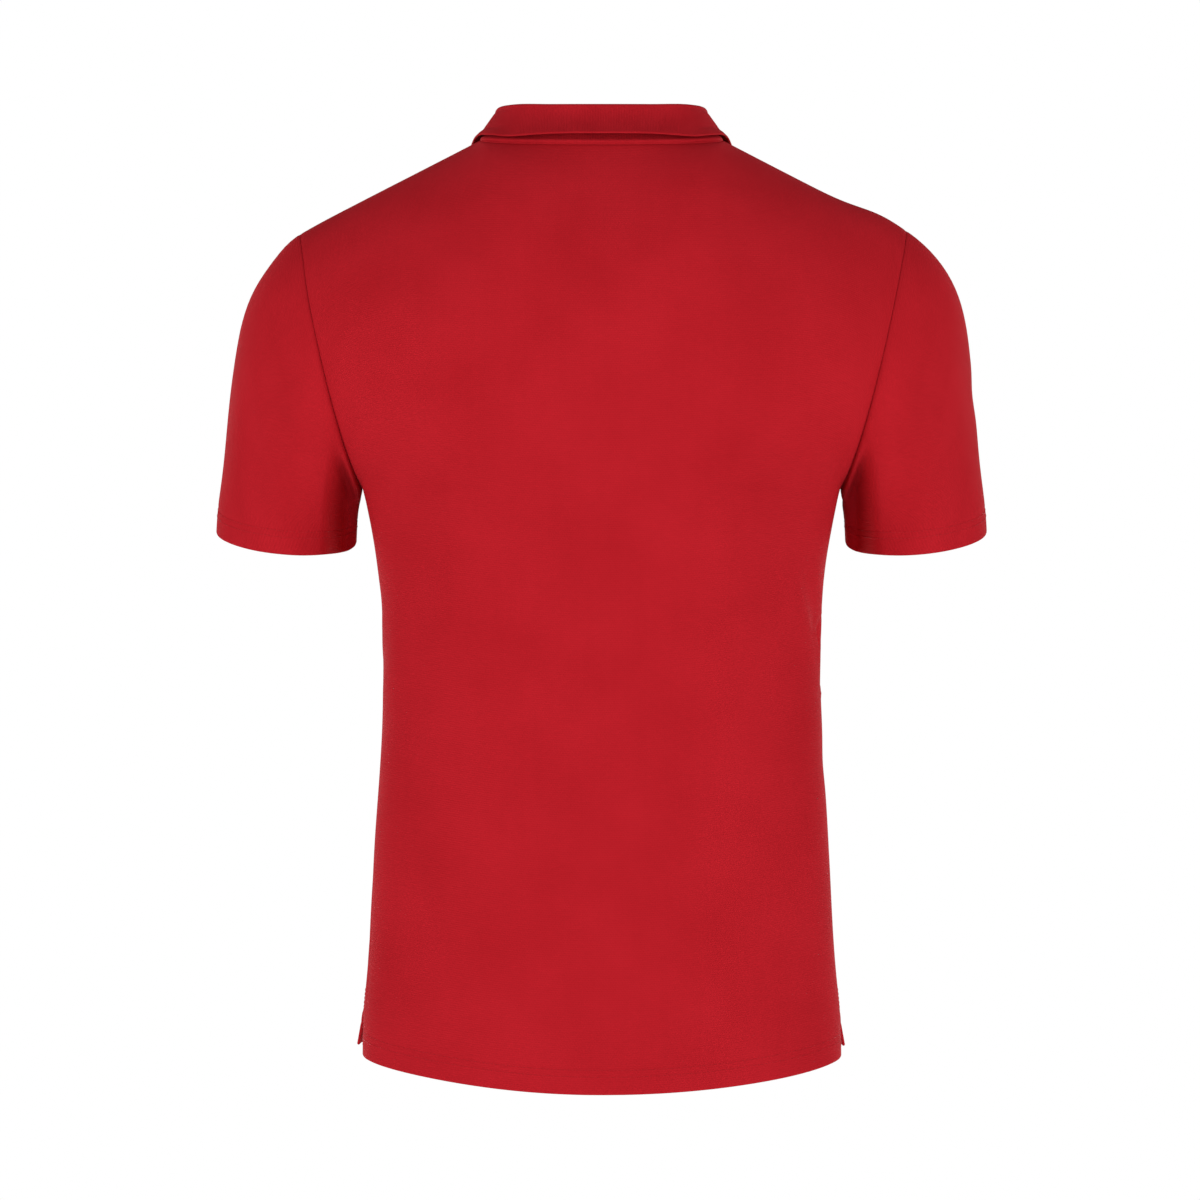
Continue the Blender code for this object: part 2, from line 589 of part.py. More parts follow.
def main():
    for old in list(bpy.data.objects):
        bpy.data.objects.remove(old, do_unlink=True)
    shirt = bpy.data.collections.new("polo_shirt")
    bpy.context.scene.collection.children.link(shirt)
    knit, gloss = finish("red_knit", RED, 0.9), finish("red_button", BUTTON_RED, 0.35)

    back_grid, front_grid = folded(panel(BACK)), panel(FRONT)
    sleeve_grid = sleeve(back_grid, front_grid)
    ring, around = neck_ring(back_grid, front_grid)
    stand_grid = stand_rows(ring, around)

    rows, columns = front_grid.shape[:2]
    slit = columns // 2

    def in_slit(row, column):
        return row >= rows - 1 - PLACKET_ROWS and abs(column + 0.5 - slit) < len(PLACKET_STEPS)

    def outside_slit(row, column):
        return not in_slit(row, column)

    whole_front = flipped(grid_faces(rows, columns))
    sleeve_quads = grid_faces(*sleeve_grid.shape[:2], closed=True)
    pieces = [
        Piece("back", back_grid, grid_faces(*back_grid.shape[:2])),
        Piece("front", front_grid, flipped(grid_faces(rows, columns, keep=outside_slit))),
        Piece("placket_under", front_grid, flipped(grid_faces(rows, columns, keep=in_slit))),
        Piece("sleeve_left", sleeve_grid, sleeve_quads),
        Piece("sleeve_right", mirrored(sleeve_grid), flipped(sleeve_quads)),
        Piece("collar_stand", stand_grid, grid_faces(*stand_grid.shape[:2])),
    ]
    sew(pieces)
    _, outward, _ = fold_frames(around)
    pieces[-1].depth[-len(around):] = outward              # squared off for the seam under the fold
    for piece in pieces:
        wall(piece, shirt, knit)

    normals = facing(front_grid.reshape(-1, 3), whole_front).reshape(front_grid.shape)
    strip_grid = upper_strip(front_grid, normals)
    strip = Piece("placket_upper", strip_grid, flipped(grid_faces(*strip_grid.shape[:2])))
    wall(strip, shirt, knit)

    leaf_grid = leaf_rows(around)
    hanging = slice(FOLD_ROWS, None)
    leaf_grid[hanging] = lie_on(leaf_grid[hanging], [*pieces[:5], strip], CLOTH + LEAF_REST)
    leaf = Piece("collar_leaf", leaf_grid, flipped(grid_faces(*leaf_grid.shape[:2])))
    leaf.depth[:len(around)] = -outward
    wall(leaf, shirt, knit)

    middle_column = strip_grid[::-1, strip_grid.shape[1] // 2]
    run = run_along(middle_column)
    facing_out = strip.facing.reshape(strip_grid.shape)[::-1, strip_grid.shape[1] // 2]
    for number, distance in enumerate(BUTTON_DROPS, start=1):
        seat = [np.interp(distance, run, middle_column[:, k]) for k in range(3)]
        normal = unit([np.interp(distance, run, facing_out[:, k]) for k in range(3)])
        button(f"button_{number}", seat, normal, shirt, gloss)


main()
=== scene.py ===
"""Looks of the red polo shirt: fine cloth in place of the solids, its sewing and buttons, and the studio.

Metres, +Z up. The front faces -Y, the wearer's left is +X, and the camera looks at the back. Every cloth
piece is a thin wall on the form of its solid: a grid of outer points worked out from the sizes below, with
soft creases pressed into it, a groove along each seam and a turned hem along each free edge.
"""

import bpy
import numpy as np
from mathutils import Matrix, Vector
from mathutils.bvhtree import BVHTree


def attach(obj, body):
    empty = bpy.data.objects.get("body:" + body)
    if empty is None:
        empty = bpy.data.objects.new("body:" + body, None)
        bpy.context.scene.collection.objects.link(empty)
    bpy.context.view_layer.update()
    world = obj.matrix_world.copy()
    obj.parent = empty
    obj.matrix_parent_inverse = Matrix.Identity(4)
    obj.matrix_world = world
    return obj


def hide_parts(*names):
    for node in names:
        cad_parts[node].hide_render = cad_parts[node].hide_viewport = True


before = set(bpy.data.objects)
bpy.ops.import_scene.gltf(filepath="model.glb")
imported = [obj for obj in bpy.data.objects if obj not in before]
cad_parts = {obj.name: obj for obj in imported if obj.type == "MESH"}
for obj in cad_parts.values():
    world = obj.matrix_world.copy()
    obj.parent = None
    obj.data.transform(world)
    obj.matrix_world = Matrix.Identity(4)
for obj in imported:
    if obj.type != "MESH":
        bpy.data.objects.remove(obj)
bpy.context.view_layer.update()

# ---- Cloth ----
SOLID_WALL = 0.0015       # thickness of the solids' walls
KNIT = 0.0011             # thickness of one layer of the knit
COLLAR_KNIT = 0.0015      # thickness of the collar's heavier knit
SEAM_GAP = 0.0003
SHARPEST_SEAM = 0.35      # sine of half the angle at which a seam's gap still keeps its full width
MITRE_LIMIT = 2.2         # longest mitre at a sharp seam, in thicknesses
TINY = 1e-12              # keeps a zero vector's direction defined
FINE = 6                  # cells of this cloth along each cell of the solids
RIM_TURNS = (45, 90, 135)                       # degrees round a free edge's rounded rim
GROOVE = 0.0007           # a seam lies this much deeper than the cloth beside it
FAINT_GROOVE = 0.0003     # and the shoulders', the neck's and the upper armholes' seams this much
GROOVE_LEVELS = (-0.140, -0.185)   # an armhole's seam deepens between these levels
GROOVE_WIDTH = 0.0016
EDGE_MARKS = np.array([0.0007, 0.0016, 0.0030])  # a sleeve's first rows lie this far from its seam
EDGE_SHARES = np.array([0.22, 0.5])             # extra columns or rows in the cell beside a seam
HEM_HEIGHT = 0.0180       # of the cloth turned up at the hem and the cuffs
VENT_HEM = 0.0090         # of the cloth turned in along the vents
HEM_STEP = 0.0008         # the second layer begins over this much
HEM_DIP = 0.00025         # the hem's stitches pull the cloth in by this much
HEM_DIP_WIDTH = 0.0016
HEM_ROWS = np.array([0, 0.8, 2.0, 4.0, 7.0, 10.0, 13.0, 14.5, 16.0, 17.2, 18.0, 18.8, 20.5, 24.0]) / 1000
LINE_POINTS = 600         # of the fine lines that rows are spread along

# ---- Sides of the body ----
BACK, FRONT = 1, -1       # sign of Y
LEFT, RIGHT = 1, -1       # sign of X

# ---- Body, one row for each level from hem to underarm ----
TORSO = np.array([
    # level, half width, back depth, front depth, squareness of the section
    (-0.706, 0.1832, 0.113, 0.116, 2.45),
    (-0.664, 0.1803, 0.112, 0.115, 2.45),
    (-0.618, 0.1761, 0.110, 0.115, 2.45),
    (-0.528, 0.1709, 0.105, 0.113, 2.40),
    (-0.450, 0.1661, 0.102, 0.113, 2.40),
    (-0.392, 0.1650, 0.104, 0.116, 2.40),
    (-0.346, 0.1663, 0.107, 0.120, 2.40),
    (-0.300, 0.1718, 0.110, 0.123, 2.40),
    (-0.262, 0.1800, 0.112, 0.124, 2.40),
], dtype=[("level", float), ("half_width", float), ("back", float), ("front", float), ("squareness", float)])
UNDERARM_LEVEL = -0.262
HEM = {BACK: (-0.7057, -0.6885), FRONT: (-0.694, -0.6830)}    # level at the middle, level at the sides
VENT_LEVEL = -0.650
VENT_SPREAD = {BACK: (-0.0018, 0.003), FRONT: (0.0037, -0.008)}  # how far a vent's corner moves, X and Y
BLADE_LEVEL = -0.165      # widest level of the upper back and chest, at the middle
BLADE_DEPTH = {BACK: 0.1165, FRONT: 0.1250}
BLADE_SQUARENESS = 2.35

# ---- Armhole and neck ----
SHOULDER = np.array([0.2280, 0.005, -0.0700])   # where the shoulder seam meets the sleeve
UNDERARM_X = 0.1800
ARMHOLE_DEPTH = {BACK: 0.076, FRONT: 0.070}
ARMHOLE_SCOOP = {BACK: 0.0, FRONT: 0.008}       # cut in towards the chest
ARMHOLE_TURN = np.radians(80)                   # from the underarm to the blade level
NECK_SIDE = np.array([0.0920, 0.010, 0.0000])   # where the shoulder seam meets the neck
NECK_MIDDLE = {BACK: np.array([0.0000, 0.070, -0.0100]), FRONT: np.array([0.0000, -0.096, -0.0880])}
NECK_SQUARENESS = {BACK: 2.3, FRONT: 2.1}
NECK_DROP = {BACK: 0.9, FRONT: 1.7}             # how late the seam drops towards the middle
TOP_HEADINGS = ((1.0, 0.0), (0.95, 0.22), (0.60, 0.80))   # over the shoulder, beside the neck, up to it
TOP_PULL = 1.05           # how long those headings hold, in spans from the blade level

# ---- Sleeve ----
CUFF_CENTRE = np.array([0.2385, -0.026, -0.2975])
CUFF_HALF_WIDTH = 0.0525
CUFF_HALF_DEPTH = 0.0580
CUFF_TILT_X = 0.0045      # the outer side is this much higher than the centre
CUFF_TILT_Y = -0.0140     # the back side is this much lower
UNDER_LEAVE, UNDER_ARRIVE = (0.40, 0.0, -0.92), (0.05, -0.10, -1.0)      # headings of the sleeve's inner line
OVER_LEAVE, OVER_ARRIVE = (0.90, 0.0, -0.43), (0.085, -0.10, -1.0)       # headings of its outer line
BACK_LEAVE = 0.30         # how far the sleeve swells to the back and front as it leaves the seam
UNDER_PULL, OVER_PULL = (0.60, 0.75), (0.72, 1.30)                       # how long the headings hold

# ---- Tuck of the sleeve's cloth beside the body, below the armhole's back and front ----
TUCK_DEPTH = {BACK: 0.038, FRONT: 0.010}
TUCK_TURNS = np.radians((121, 150))     # round from the outer line it starts at the first, whole at the last
TUCK_SWING = 0.7                        # it fades to the inner line where the turn's sine is less than this
TUCK_BELOW_SEAM = (0.002, 0.018)        # it starts the first distance below the seam, whole at the second
TUCK_AT_CUFF = 0.7                      # share of it that is left at the cuff

# ---- Collar: half of it, from the back's middle (0) over the shoulder seam (0.4) to the front end (1) ----
NECK_SIDE_AROUND = 0.4
COLLAR = np.array([
    # around, fold line X Y Z, leaf's free edge X Y Z
    (0.00, 0.0000, 0.0580, 0.0194, 0.0000, 0.0755, -0.0010),
    (0.15, 0.0355, 0.0535, 0.0199, 0.0405, 0.0710, -0.0010),
    (0.30, 0.0655, 0.0350, 0.0219, 0.0765, 0.0500, -0.0015),
    (0.40, 0.0772, 0.0090, 0.0224, 0.0930, 0.0150, 0.0014),
    (0.55, 0.0735, -0.0290, 0.0130, 0.1015, -0.0310, -0.0140),
    (0.70, 0.0530, -0.0610, -0.0130, 0.0945, -0.0760, -0.0500),
    (0.85, 0.0290, -0.0820, -0.0420, 0.0750, -0.1055, -0.0880),
    (1.00, 0.0070, -0.0900, -0.0620, 0.0530, -0.1215, -0.1200),
], dtype=[(name, float) for name in ("around", "fold_x", "fold_y", "fold_z", "edge_x", "edge_y", "edge_z")])
FOLD_RADIUS = 0.0021      # of the collar's outer surface over the fold
FOLD_TURNS = range(180, -1, -15)       # degrees round the fold, from the inside to the outside
INNER_SHARES = (0.0, 0.35, 0.7)        # rows of the leaf below the fold, on its inside
STAND_BELOW_FOLD = 0.0040
STAND_CELLS = 3
STAND_RISE = 0.0040       # the stand heads this much more upwards as it leaves the seam
STAND_SWELL = 0.0030      # it bulges out this much over the seam at the back
SWELL_ABOVE_SEAM = 0.0030
SWELL_WIDTH = 0.0024
SWELL_AROUND = (0.30, 0.42)            # whole up to the first place round the neck and gone at the second
LEAF_CELLS = 6
LEAF_SPRING = 0.15        # how far the leaf springs out as it leaves the fold, for each unit down
LEAF_FLARE = 0.35         # how far it flares at its free edge
LEAF_STRAIGHT = 0.14      # it falls straight over this much of the way round, beside the neck
LEAF_REST = 0.0008        # the leaf clears the cloth that it lies on by this much
UNDER_SHARE = 0.8         # a point lies under a cloth when it is this square below it
UNDER_REACH = 0.020       # and no further off than this
LIE_PASSES = 4            # times that the leaf is lifted where it still touches
LIE_STEP = 0.5            # it is felt at this many cells apart

# ---- Placket ----
PLACKET_STEPS = (0.016, 0.004)    # columns this far from the middle: the strip's edge, and the collar's end
PLACKET_OVERLAP = 0.15            # how far the upper strip lies past the slit, in cells of the solid
BUTTON_RADIUS = 0.0055
BUTTON_THICKNESS = 0.0022
BUTTON_DROPS = (0.016, 0.069, 0.122)   # below the neck seam
BUTTON_LIFT = 0.0009      # thread between the strip and the button
BUTTON_UPRIGHT = 0.002    # its upright runs to the strip's point this much further up
BUTTON_SIDES = 48
BUTTON_PROFILE = (        # share of the radius and of the thickness, from the face's middle to the back's
    (0.0, 0.62), (0.50, 0.62), (0.62, 0.68), (0.70, 0.86), (0.78, 0.98), (0.86, 1.0), (0.93, 0.96),
    (0.98, 0.84), (1.0, 0.66), (0.99, 0.46), (0.94, 0.26), (0.80, 0.08), (0.60, 0.0), (0.0, 0.0))
HOLE_RADIUS = 0.00065
HOLE_SIDES = 16
HOLE_PLACES = [(x, y) for x in (-0.00115, 0.00115) for y in (-0.00115, 0.00115)]
HOLE_SPAN = 0.00125       # half the length of the thread between two holes

# ---- Stitches ----
TWIN_ROWS = (0.0010, 0.0058)       # the hem's two rows lie this far below its upper edge
VENT_STITCH = 0.0012
VENT_STITCH_COLUMNS = 5
STRIP_STITCH = 0.0022              # of the placket's stitches from its edge
STRIP_BOX = 0.0120                 # height of the box sewn at its foot
STRIP_THICK = 0.0013
BUTTONHOLE = (0.0078, 0.0011)      # half its length and half its width
BUTTONHOLE_BAR = 1.6               # how blunt its ends are
BUTTONHOLE_POINTS = 49
BUTTONHOLE_STITCH = {"Pitch": 0.00042, "Length": 0.0013, "Width": 0.00042, "Height": 0.00040,
                     "Turn": np.pi / 2, "Wander": 0.10}
BUTTON_THREAD = {"Pitch": 0.0024, "Length": 0.0031, "Width": 0.00085, "Height": 0.0008, "Wander": 0.0}
STITCH_DEFAULTS = {"Pitch": 0.0030, "Length": 0.0025, "Width": 0.00055, "Height": 0.00050,
                   "Turn": 0.0, "Wander": 0.05}
STITCH_LIFT = 0.00006     # of a stitch's middle above the cloth

# ---- Unevenness of the whole form, as it hangs: smooth small moves ----
LEANS = np.array([
    # place X Z, reach X Z, move X Z
    (-0.212, -0.056, 0.026, 0.030, -0.0020, 0.0040),     # the right shoulder is a little fuller
    (-0.262, -0.120, 0.030, 0.050, -0.0042, 0.0000),     # and so is the sleeve below it
    (0.252, -0.088, 0.030, 0.026, -0.0034, -0.0012),     # the left sleeve lies flatter at its top
    (0.292, -0.285, 0.020, 0.036, 0.0028, 0.0000),       # the cuffs spread at their outer sides
    (-0.292, -0.285, 0.020, 0.036, -0.0028, 0.0000),
    (0.140, -0.700, 0.070, 0.030, 0.0000, 0.0016),       # the hem is higher at the left
], dtype=[(name, float) for name in ("x", "z", "reach_x", "reach_z", "move_x", "move_z")])

# ---- Cells of the solids' panels ----
SHOULDER_CELLS = 7
NECK_CELLS = {BACK: 6, FRONT: 7}
PLACKET_CELLS = {BACK: 0, FRONT: len(PLACKET_STEPS)}
VENT_CELLS = 2
BODY_CELLS = 13
LOWER_ARMHOLE_CELLS = 6
UPPER_ARMHOLE_CELLS = 7
SLEEVE_CELLS = 8
PLACKET_ROWS = 11                               # cells of the front that the placket's slit runs down
HALF_CELLS = {side: SHOULDER_CELLS + NECK_CELLS[side] + PLACKET_CELLS[side] for side in (BACK, FRONT)}
SHOULDER_COLUMNS = SHOULDER_CELLS * FINE + len(EDGE_SHARES)

# ---- Rows of the panels here ----
HEM_LEVEL = TORSO["level"][0]
LEVELS = np.concatenate([HEM_LEVEL + HEM_ROWS,
                         np.linspace(HEM_LEVEL + HEM_ROWS[-1], VENT_LEVEL, VENT_CELLS * FINE - 4)[1:],
                         np.linspace(VENT_LEVEL, UNDERARM_LEVEL, BODY_CELLS * FINE + 1)[1:]])
VENT_ROWS = int(np.sum(LEVELS <= VENT_LEVEL + 1e-6))       # rows of a panel that the vent leaves open
VENT_FADE_ROWS = 3                                         # the vent's turned edge begins over these rows
UPPER_SHARES = np.linspace(0, 1, UPPER_ARMHOLE_CELLS * FINE + 1)[1:]
UPPER_SHARES = np.sort(np.append(UPPER_SHARES, 1 - (1 - UPPER_SHARES[-2]) * EDGE_SHARES))
TOP_ROW = len(LEVELS) + LOWER_ARMHOLE_CELLS * FINE + len(UPPER_SHARES) - 1
PLACKET_FOOT = TOP_ROW - PLACKET_ROWS * FINE - len(EDGE_SHARES)      # lowest row of the placket's slit
PLACKET_HALF = len(PLACKET_STEPS) * FINE                             # columns from the middle to its edge

# ---- Cut of each piece: width and length of its rectangle on the bolt, and its area ----
CUTS = {
    "back": ((0.530, 0.745), 0.325),
    "front": ((0.530, 0.715), 0.310),
    "sleeve_left": ((0.400, 0.235), 0.058),
    "sleeve_right": ((0.400, 0.235), 0.058),
    "collar_stand": ((0.420, 0.037), 0.0150),
    "collar_leaf": ((0.470, 0.072), 0.0290),
    "placket_upper": ((0.034, 0.170), 0.0057),
    "placket_under": ((0.033, 0.155), 0.0049),
}

# ---- Studio ----
SENSOR = 36.0
CAMERA_DISTANCE = 3.0
FRAME_WIDTH = 0.9072               # of the photo's frame at the shirt
CAMERA_LEVEL = -0.3463
CAMERA_X = 0.0011
CAMERA_REACH = 50.0
AIM = (0.0, 0.0, -0.35)
FLOOR_LEVEL = -1.42                # where a wearer's feet stand
FLOOR_RADIUS = 3.8
FLOOR_SIDES = 96
FLOOR_COLOUR = (0.92, 0.92, 0.92, 1.0)
SKY = (0.24, 0.34, 0.28)           # brightness of the studio below, at eye level and overhead
SOFTBOX = 2.4                      # side of each softbox
SOFTBOX_DISTANCE = 4.0
SOFTBOX_LEVEL = -0.30
SOFTBOX_TURN = {BACK: np.radians(50), FRONT: np.radians(25)}       # from the line square to that side
SOFTBOX_POWER = {BACK: 86.0, FRONT: 60.0}

# ---- Colours, linear ----
RED = (0.470, 0.0118, 0.0196, 1.0)
# RED_DARK is the knit's darker tone and also the painted shade in its hollows
RED_DARK = (0.395, 0.0082, 0.0140, 1.0)
SHEEN_TINT = (1.0, 0.06, 0.08, 1.0)
# the thread goes from THREAD_LIGHT to THREAD_DARK in the grooves of its bump: painted shade
THREAD_LIGHT = (0.480, 0.0125, 0.0205, 1.0)
THREAD_DARK = (0.380, 0.0085, 0.0140, 1.0)
BUTTON_LIGHT = (0.360, 0.012, 0.018, 1.0)
BUTTON_DARK = (0.270, 0.006, 0.010, 1.0)
SHADE_RANGE = (0.05, 0.60)         # of the knit's shade, from dark to light: its uneven tone and the shade painted into its hollows

# ---- Knits: width of a wale, height of a course, the yarn's unevenness, how much shade is painted into the hollows ----
PIQUE = {"Wale": 0.0011, "Course": 0.0008, "Slub": 0.45, "Fade": 0.35}
RIB = {"Wale": 0.0012, "Course": 0.0009, "Slub": 0.40, "Fade": 0.30}
PIQUE_RELIEF, RIB_RELIEF = 0.00015, 0.00014
YARN_SCALE = 900.0
YARN_ROUGHNESS = 0.16              # the yarn's unevenness makes the knit this much rougher
STREAK_SHARE = 0.15                # of the pique's unevenness that runs in streaks up the cloth


def unit(vectors):
    """Vectors brought to length 1, along the last axis."""
    vectors = np.asarray(vectors, dtype=float)
    return vectors / np.maximum(np.linalg.norm(vectors, axis=-1, keepdims=True), TINY)


def curve(start, end, leave, arrive, s):
    """Cubic from start to end that leaves and arrives along the given tangents, at s from 0 to 1."""
    return ((2 * s**3 - 3 * s**2 + 1) * start + (s**3 - 2 * s**2 + s) * leave
            + (3 * s**2 - 2 * s**3) * end + (s**3 - s**2) * arrive)


def read(table, column, at):
    """A column of a table read at a value of its first column, on a smooth curve through its rows."""
    knots, values = table[table.dtype.names[0]], table[column]
    slopes = np.gradient(values, knots)
    k = int(np.clip(np.searchsorted(knots, at) - 1, 0, len(knots) - 2))
    span = knots[k + 1] - knots[k]
    return curve(values[k], values[k + 1], slopes[k] * span, slopes[k + 1] * span, (at - knots[k]) / span)


def blend(first, last, share):
    """A value or a vector a share of the way from the first to the last."""
    first, last = np.asarray(first, dtype=float), np.asarray(last, dtype=float)
    return first + (last - first) * share


def mirrored(points):
    """Points on the other side of the body."""
    return np.asarray(points) * np.array([-1, 1, 1])


def run_along(line):
    """Distance of each point from the start of its line."""
    return np.concatenate([[0], np.cumsum(np.linalg.norm(np.diff(line, axis=0), axis=1))])


def at_distance(distance, run, vectors):
    """Vectors along a line, read at one distance from its start or at several."""
    return np.stack([np.interp(distance, run, vectors[:, k]) for k in range(3)], axis=-1)


def spread(line, marks):
    """Points on a fine line at the given shares of its length."""
    run = run_along(line)
    return at_distance(marks, run / run[-1], line)


def finer(marks, fine):
    """Marks with each gap between them split into equal cells."""
    cells = len(marks) - 1
    return np.interp(np.arange(cells * fine + 1) / fine, np.arange(cells + 1), marks)


def with_edge(marks):
    """Marks with two more in the first cell, beside the seam."""
    return np.concatenate([[0.0], marks[1] * EDGE_SHARES, marks[1:]])


def smooth_step(share):
    """0 below 0, 1 above 1, and a soft rise between."""
    share = np.clip(share, 0, 1)
    return share * share * (3 - 2 * share)


def eased(share):
    """A share from 0 to 1 that starts and ends gently."""
    return (1 - np.cos(np.pi * share)) / 2


# ======== Form: the same surfaces as the solids', on a finer grid ========

def armhole(turn, side):
    """Point of the left armhole's seam below the blade level: turn 0 is the underarm."""
    low, high = UNDERARM_LEVEL, SHOULDER[2]
    rise = (1 - np.cos(turn)) / 2
    x = UNDERARM_X + (SHOULDER[0] - UNDERARM_X) * rise**0.8 - ARMHOLE_SCOOP[side] * np.sin(turn) ** 2
    y = side * ARMHOLE_DEPTH[side] * np.sin(turn) ** 0.95
    return np.array([x, y, low + (high - low) * rise])


def column_marks(line, cells, side):
    """Shares of a line's length up to the middle, with the placket's columns in their places."""
    marks = np.linspace(0, 1, cells + 1)
    if side == FRONT:
        placket = 1 - np.array(PLACKET_STEPS) / run_along(line)[-1]
        marks = np.concatenate([np.linspace(0, placket[0], cells - len(placket) + 1), placket[1:], [1.0]])
    return finer(marks, FINE)


def section(edge, depth, middle_level, squareness, side):
    """Half a row: from a side edge round to the middle, on a superellipse that passes through the edge."""
    reach = edge[0] / (1 - abs(edge[1] / depth) ** squareness) ** (1 / squareness)
    start = np.arccos(min(1.0, (edge[0] / reach) ** (squareness / 2)))
    turn = np.linspace(start, np.pi / 2, LINE_POINTS)
    x = reach * np.cos(turn) ** (2 / squareness)
    y = side * depth * np.sin(turn) ** (2 / squareness)
    z = middle_level + (edge[2] - middle_level) * (x / edge[0]) ** 2
    x[-1] = 0.0
    line = np.stack([x, y, z], axis=1)
    line[0] = edge
    return spread(line, with_edge(column_marks(line, HALF_CELLS[side], side)))


def body_row(level, side):
    """Half a row of the body below the underarm; beside the vents it rises into the hem's own curve."""
    middle, corner = HEM[side]
    risen = np.clip((VENT_LEVEL - level) / (VENT_LEVEL - HEM_LEVEL - HEM_ROWS[-1]), 0, 1)
    width = read(TORSO, "half_width", level + (corner - HEM_LEVEL) * risen)
    depth = read(TORSO, "back" if side == BACK else "front", level)
    row = section((width, 0.0, level), depth, level, read(TORSO, "squareness", level), side)
    open_share = np.clip((VENT_LEVEL - level) / (VENT_LEVEL - HEM_LEVEL), 0, 1)
    near_edge = (row[:, 0] / width) ** 10 * open_share**2
    hem = middle + (corner - middle) * (row[:, 0] / width) ** 2
    row[:, 2] += (hem - HEM_LEVEL) * risen
    row[:, 0] += VENT_SPREAD[side][0] * near_edge
    row[:, 1] += VENT_SPREAD[side][1] * near_edge
    return row


def upper_row(share, side):
    """Half a row between the underarm (share 0) and the blade level (share 1), from armhole to middle."""
    depth_name = "back" if side == BACK else "front"
    depth = blend(TORSO[depth_name][-1], BLADE_DEPTH[side], share)
    squareness = blend(TORSO["squareness"][-1], BLADE_SQUARENESS, share)
    level = blend(UNDERARM_LEVEL, BLADE_LEVEL, share)
    return section(armhole(ARMHOLE_TURN * share, side), float(depth), float(level), float(squareness), side)


def neckline(side):
    """Fine line of half the neck seam, from the shoulder seam to the middle."""
    middle = NECK_MIDDLE[side]
    turn = np.linspace(0, np.pi / 2, LINE_POINTS)
    power = 2 / NECK_SQUARENESS[side]
    x = NECK_SIDE[0] * np.cos(turn) ** power
    y = NECK_SIDE[1] + (middle[1] - NECK_SIDE[1]) * np.sin(turn) ** power
    z = NECK_SIDE[2] + (middle[2] - NECK_SIDE[2]) * np.sin(turn) ** NECK_DROP[side]
    x[-1] = 0.0
    return np.stack([x, y, z], axis=1)


def top_row(side):
    """Half the top edge: the shoulder seam inwards to the neck, then the neck seam to the middle."""
    steps = with_edge(finer(np.linspace(0, 1, SHOULDER_CELLS + 1), FINE))
    shoulder = SHOULDER + (NECK_SIDE - SHOULDER) * steps[:, None]
    neck = neckline(side)
    marks = column_marks(neck, NECK_CELLS[side] + PLACKET_CELLS[side], side)
    return np.concatenate([shoulder, spread(neck, marks)[1:]])


def top_headings(side, top):
    """Direction in which each column of half a panel reaches the top edge."""
    over_shoulder, beside_neck, up_neck = [unit([0.0, -side * run, rise]) for run, rise in TOP_HEADINGS]
    shoulder, neck = [run_along(line) for line in (top[:SHOULDER_COLUMNS + 1], top[SHOULDER_COLUMNS:])]
    over_shoulder = blend(over_shoulder, beside_neck, eased(shoulder / shoulder[-1])[:, None])
    round_neck = blend(beside_neck, up_neck, eased(neck / neck[-1])[1:, None])
    return unit(np.concatenate([over_shoulder, round_neck]))


def panel(side):
    """Outer points of the back or front: rows from hem to top edge, columns from wearer's left to right."""
    rows = [body_row(level, side) for level in LEVELS]
    rows += [upper_row(share, side) for share in np.linspace(0, 1, LOWER_ARMHOLE_CELLS * FINE + 1)[1:]]
    blade, top = rows[-1], top_row(side)
    reach = np.linalg.norm(top - blade, axis=1)[:, None]
    leave = unit(blade - upper_row(0.97, side)) * reach * TOP_PULL
    arrive = top_headings(side, top) * reach * TOP_PULL
    rows += [curve(blade, top, leave, arrive, s) for s in UPPER_SHARES]
    half = np.array(rows)
    return np.concatenate([half, mirrored(half[:, -2::-1])], axis=1)


def armhole_seam(back, front):
    """The left armhole's whole seam, from the underarm over back and shoulder to the front, with shares."""
    first = len(LEVELS) - 1
    rise = np.concatenate([np.arange(LOWER_ARMHOLE_CELLS * FINE + 1) / FINE,
                           LOWER_ARMHOLE_CELLS + UPPER_SHARES * UPPER_ARMHOLE_CELLS])
    rise = rise / rise[-1] / 2
    seam = np.concatenate([back[first:, 0], front[-2:first:-1, 0]])
    return seam, np.concatenate([rise, 1 - rise[-2:0:-1]])


def sleeve(back, front):
    """Outer points of the left sleeve: rows from the armhole to the cuff, columns once round, closed."""
    seam, share = armhole_seam(back, front)                # share 0 underarm, a quarter back, a half shoulder
    turn = np.pi - 2 * np.pi * share
    cuff = CUFF_CENTRE + np.stack([CUFF_HALF_WIDTH * np.cos(turn), CUFF_HALF_DEPTH * np.sin(turn),
                                   CUFF_TILT_X * np.cos(turn) + CUFF_TILT_Y * np.sin(turn)], axis=1)
    up = (1 + np.cos(turn))[:, None] / 2                   # 0 on the inner line, 1 on the outer line
    leave = blend(UNDER_LEAVE, OVER_LEAVE, up) + np.outer(np.sin(turn), [0.0, BACK_LEAVE, 0.0])
    arrive = blend(UNDER_ARRIVE, OVER_ARRIVE, up)
    reach = np.linalg.norm(cuff - seam, axis=1)[:, None]
    leave = unit(leave) * reach * blend(UNDER_PULL[0], OVER_PULL[0], up)
    arrive = unit(arrive) * reach * blend(UNDER_PULL[1], OVER_PULL[1], up)
    lines = np.array([curve(seam, cuff, leave, arrive, s) for s in np.linspace(0, 1, LINE_POINTS)])
    columns = []
    for column in range(len(seam)):
        line = lines[:, column]
        length = run_along(line)[-1]
        near_seam = np.concatenate([[0.0], EDGE_MARKS]) / length
        hem = 1 - HEM_ROWS[::-1] / length
        middle = np.linspace(near_seam[-1], hem[0], SLEEVE_CELLS * FINE - len(hem))[1:-1]
        columns.append(spread(line, np.concatenate([near_seam, middle, hem])))
    return tucked(np.stack(columns, axis=1), turn)


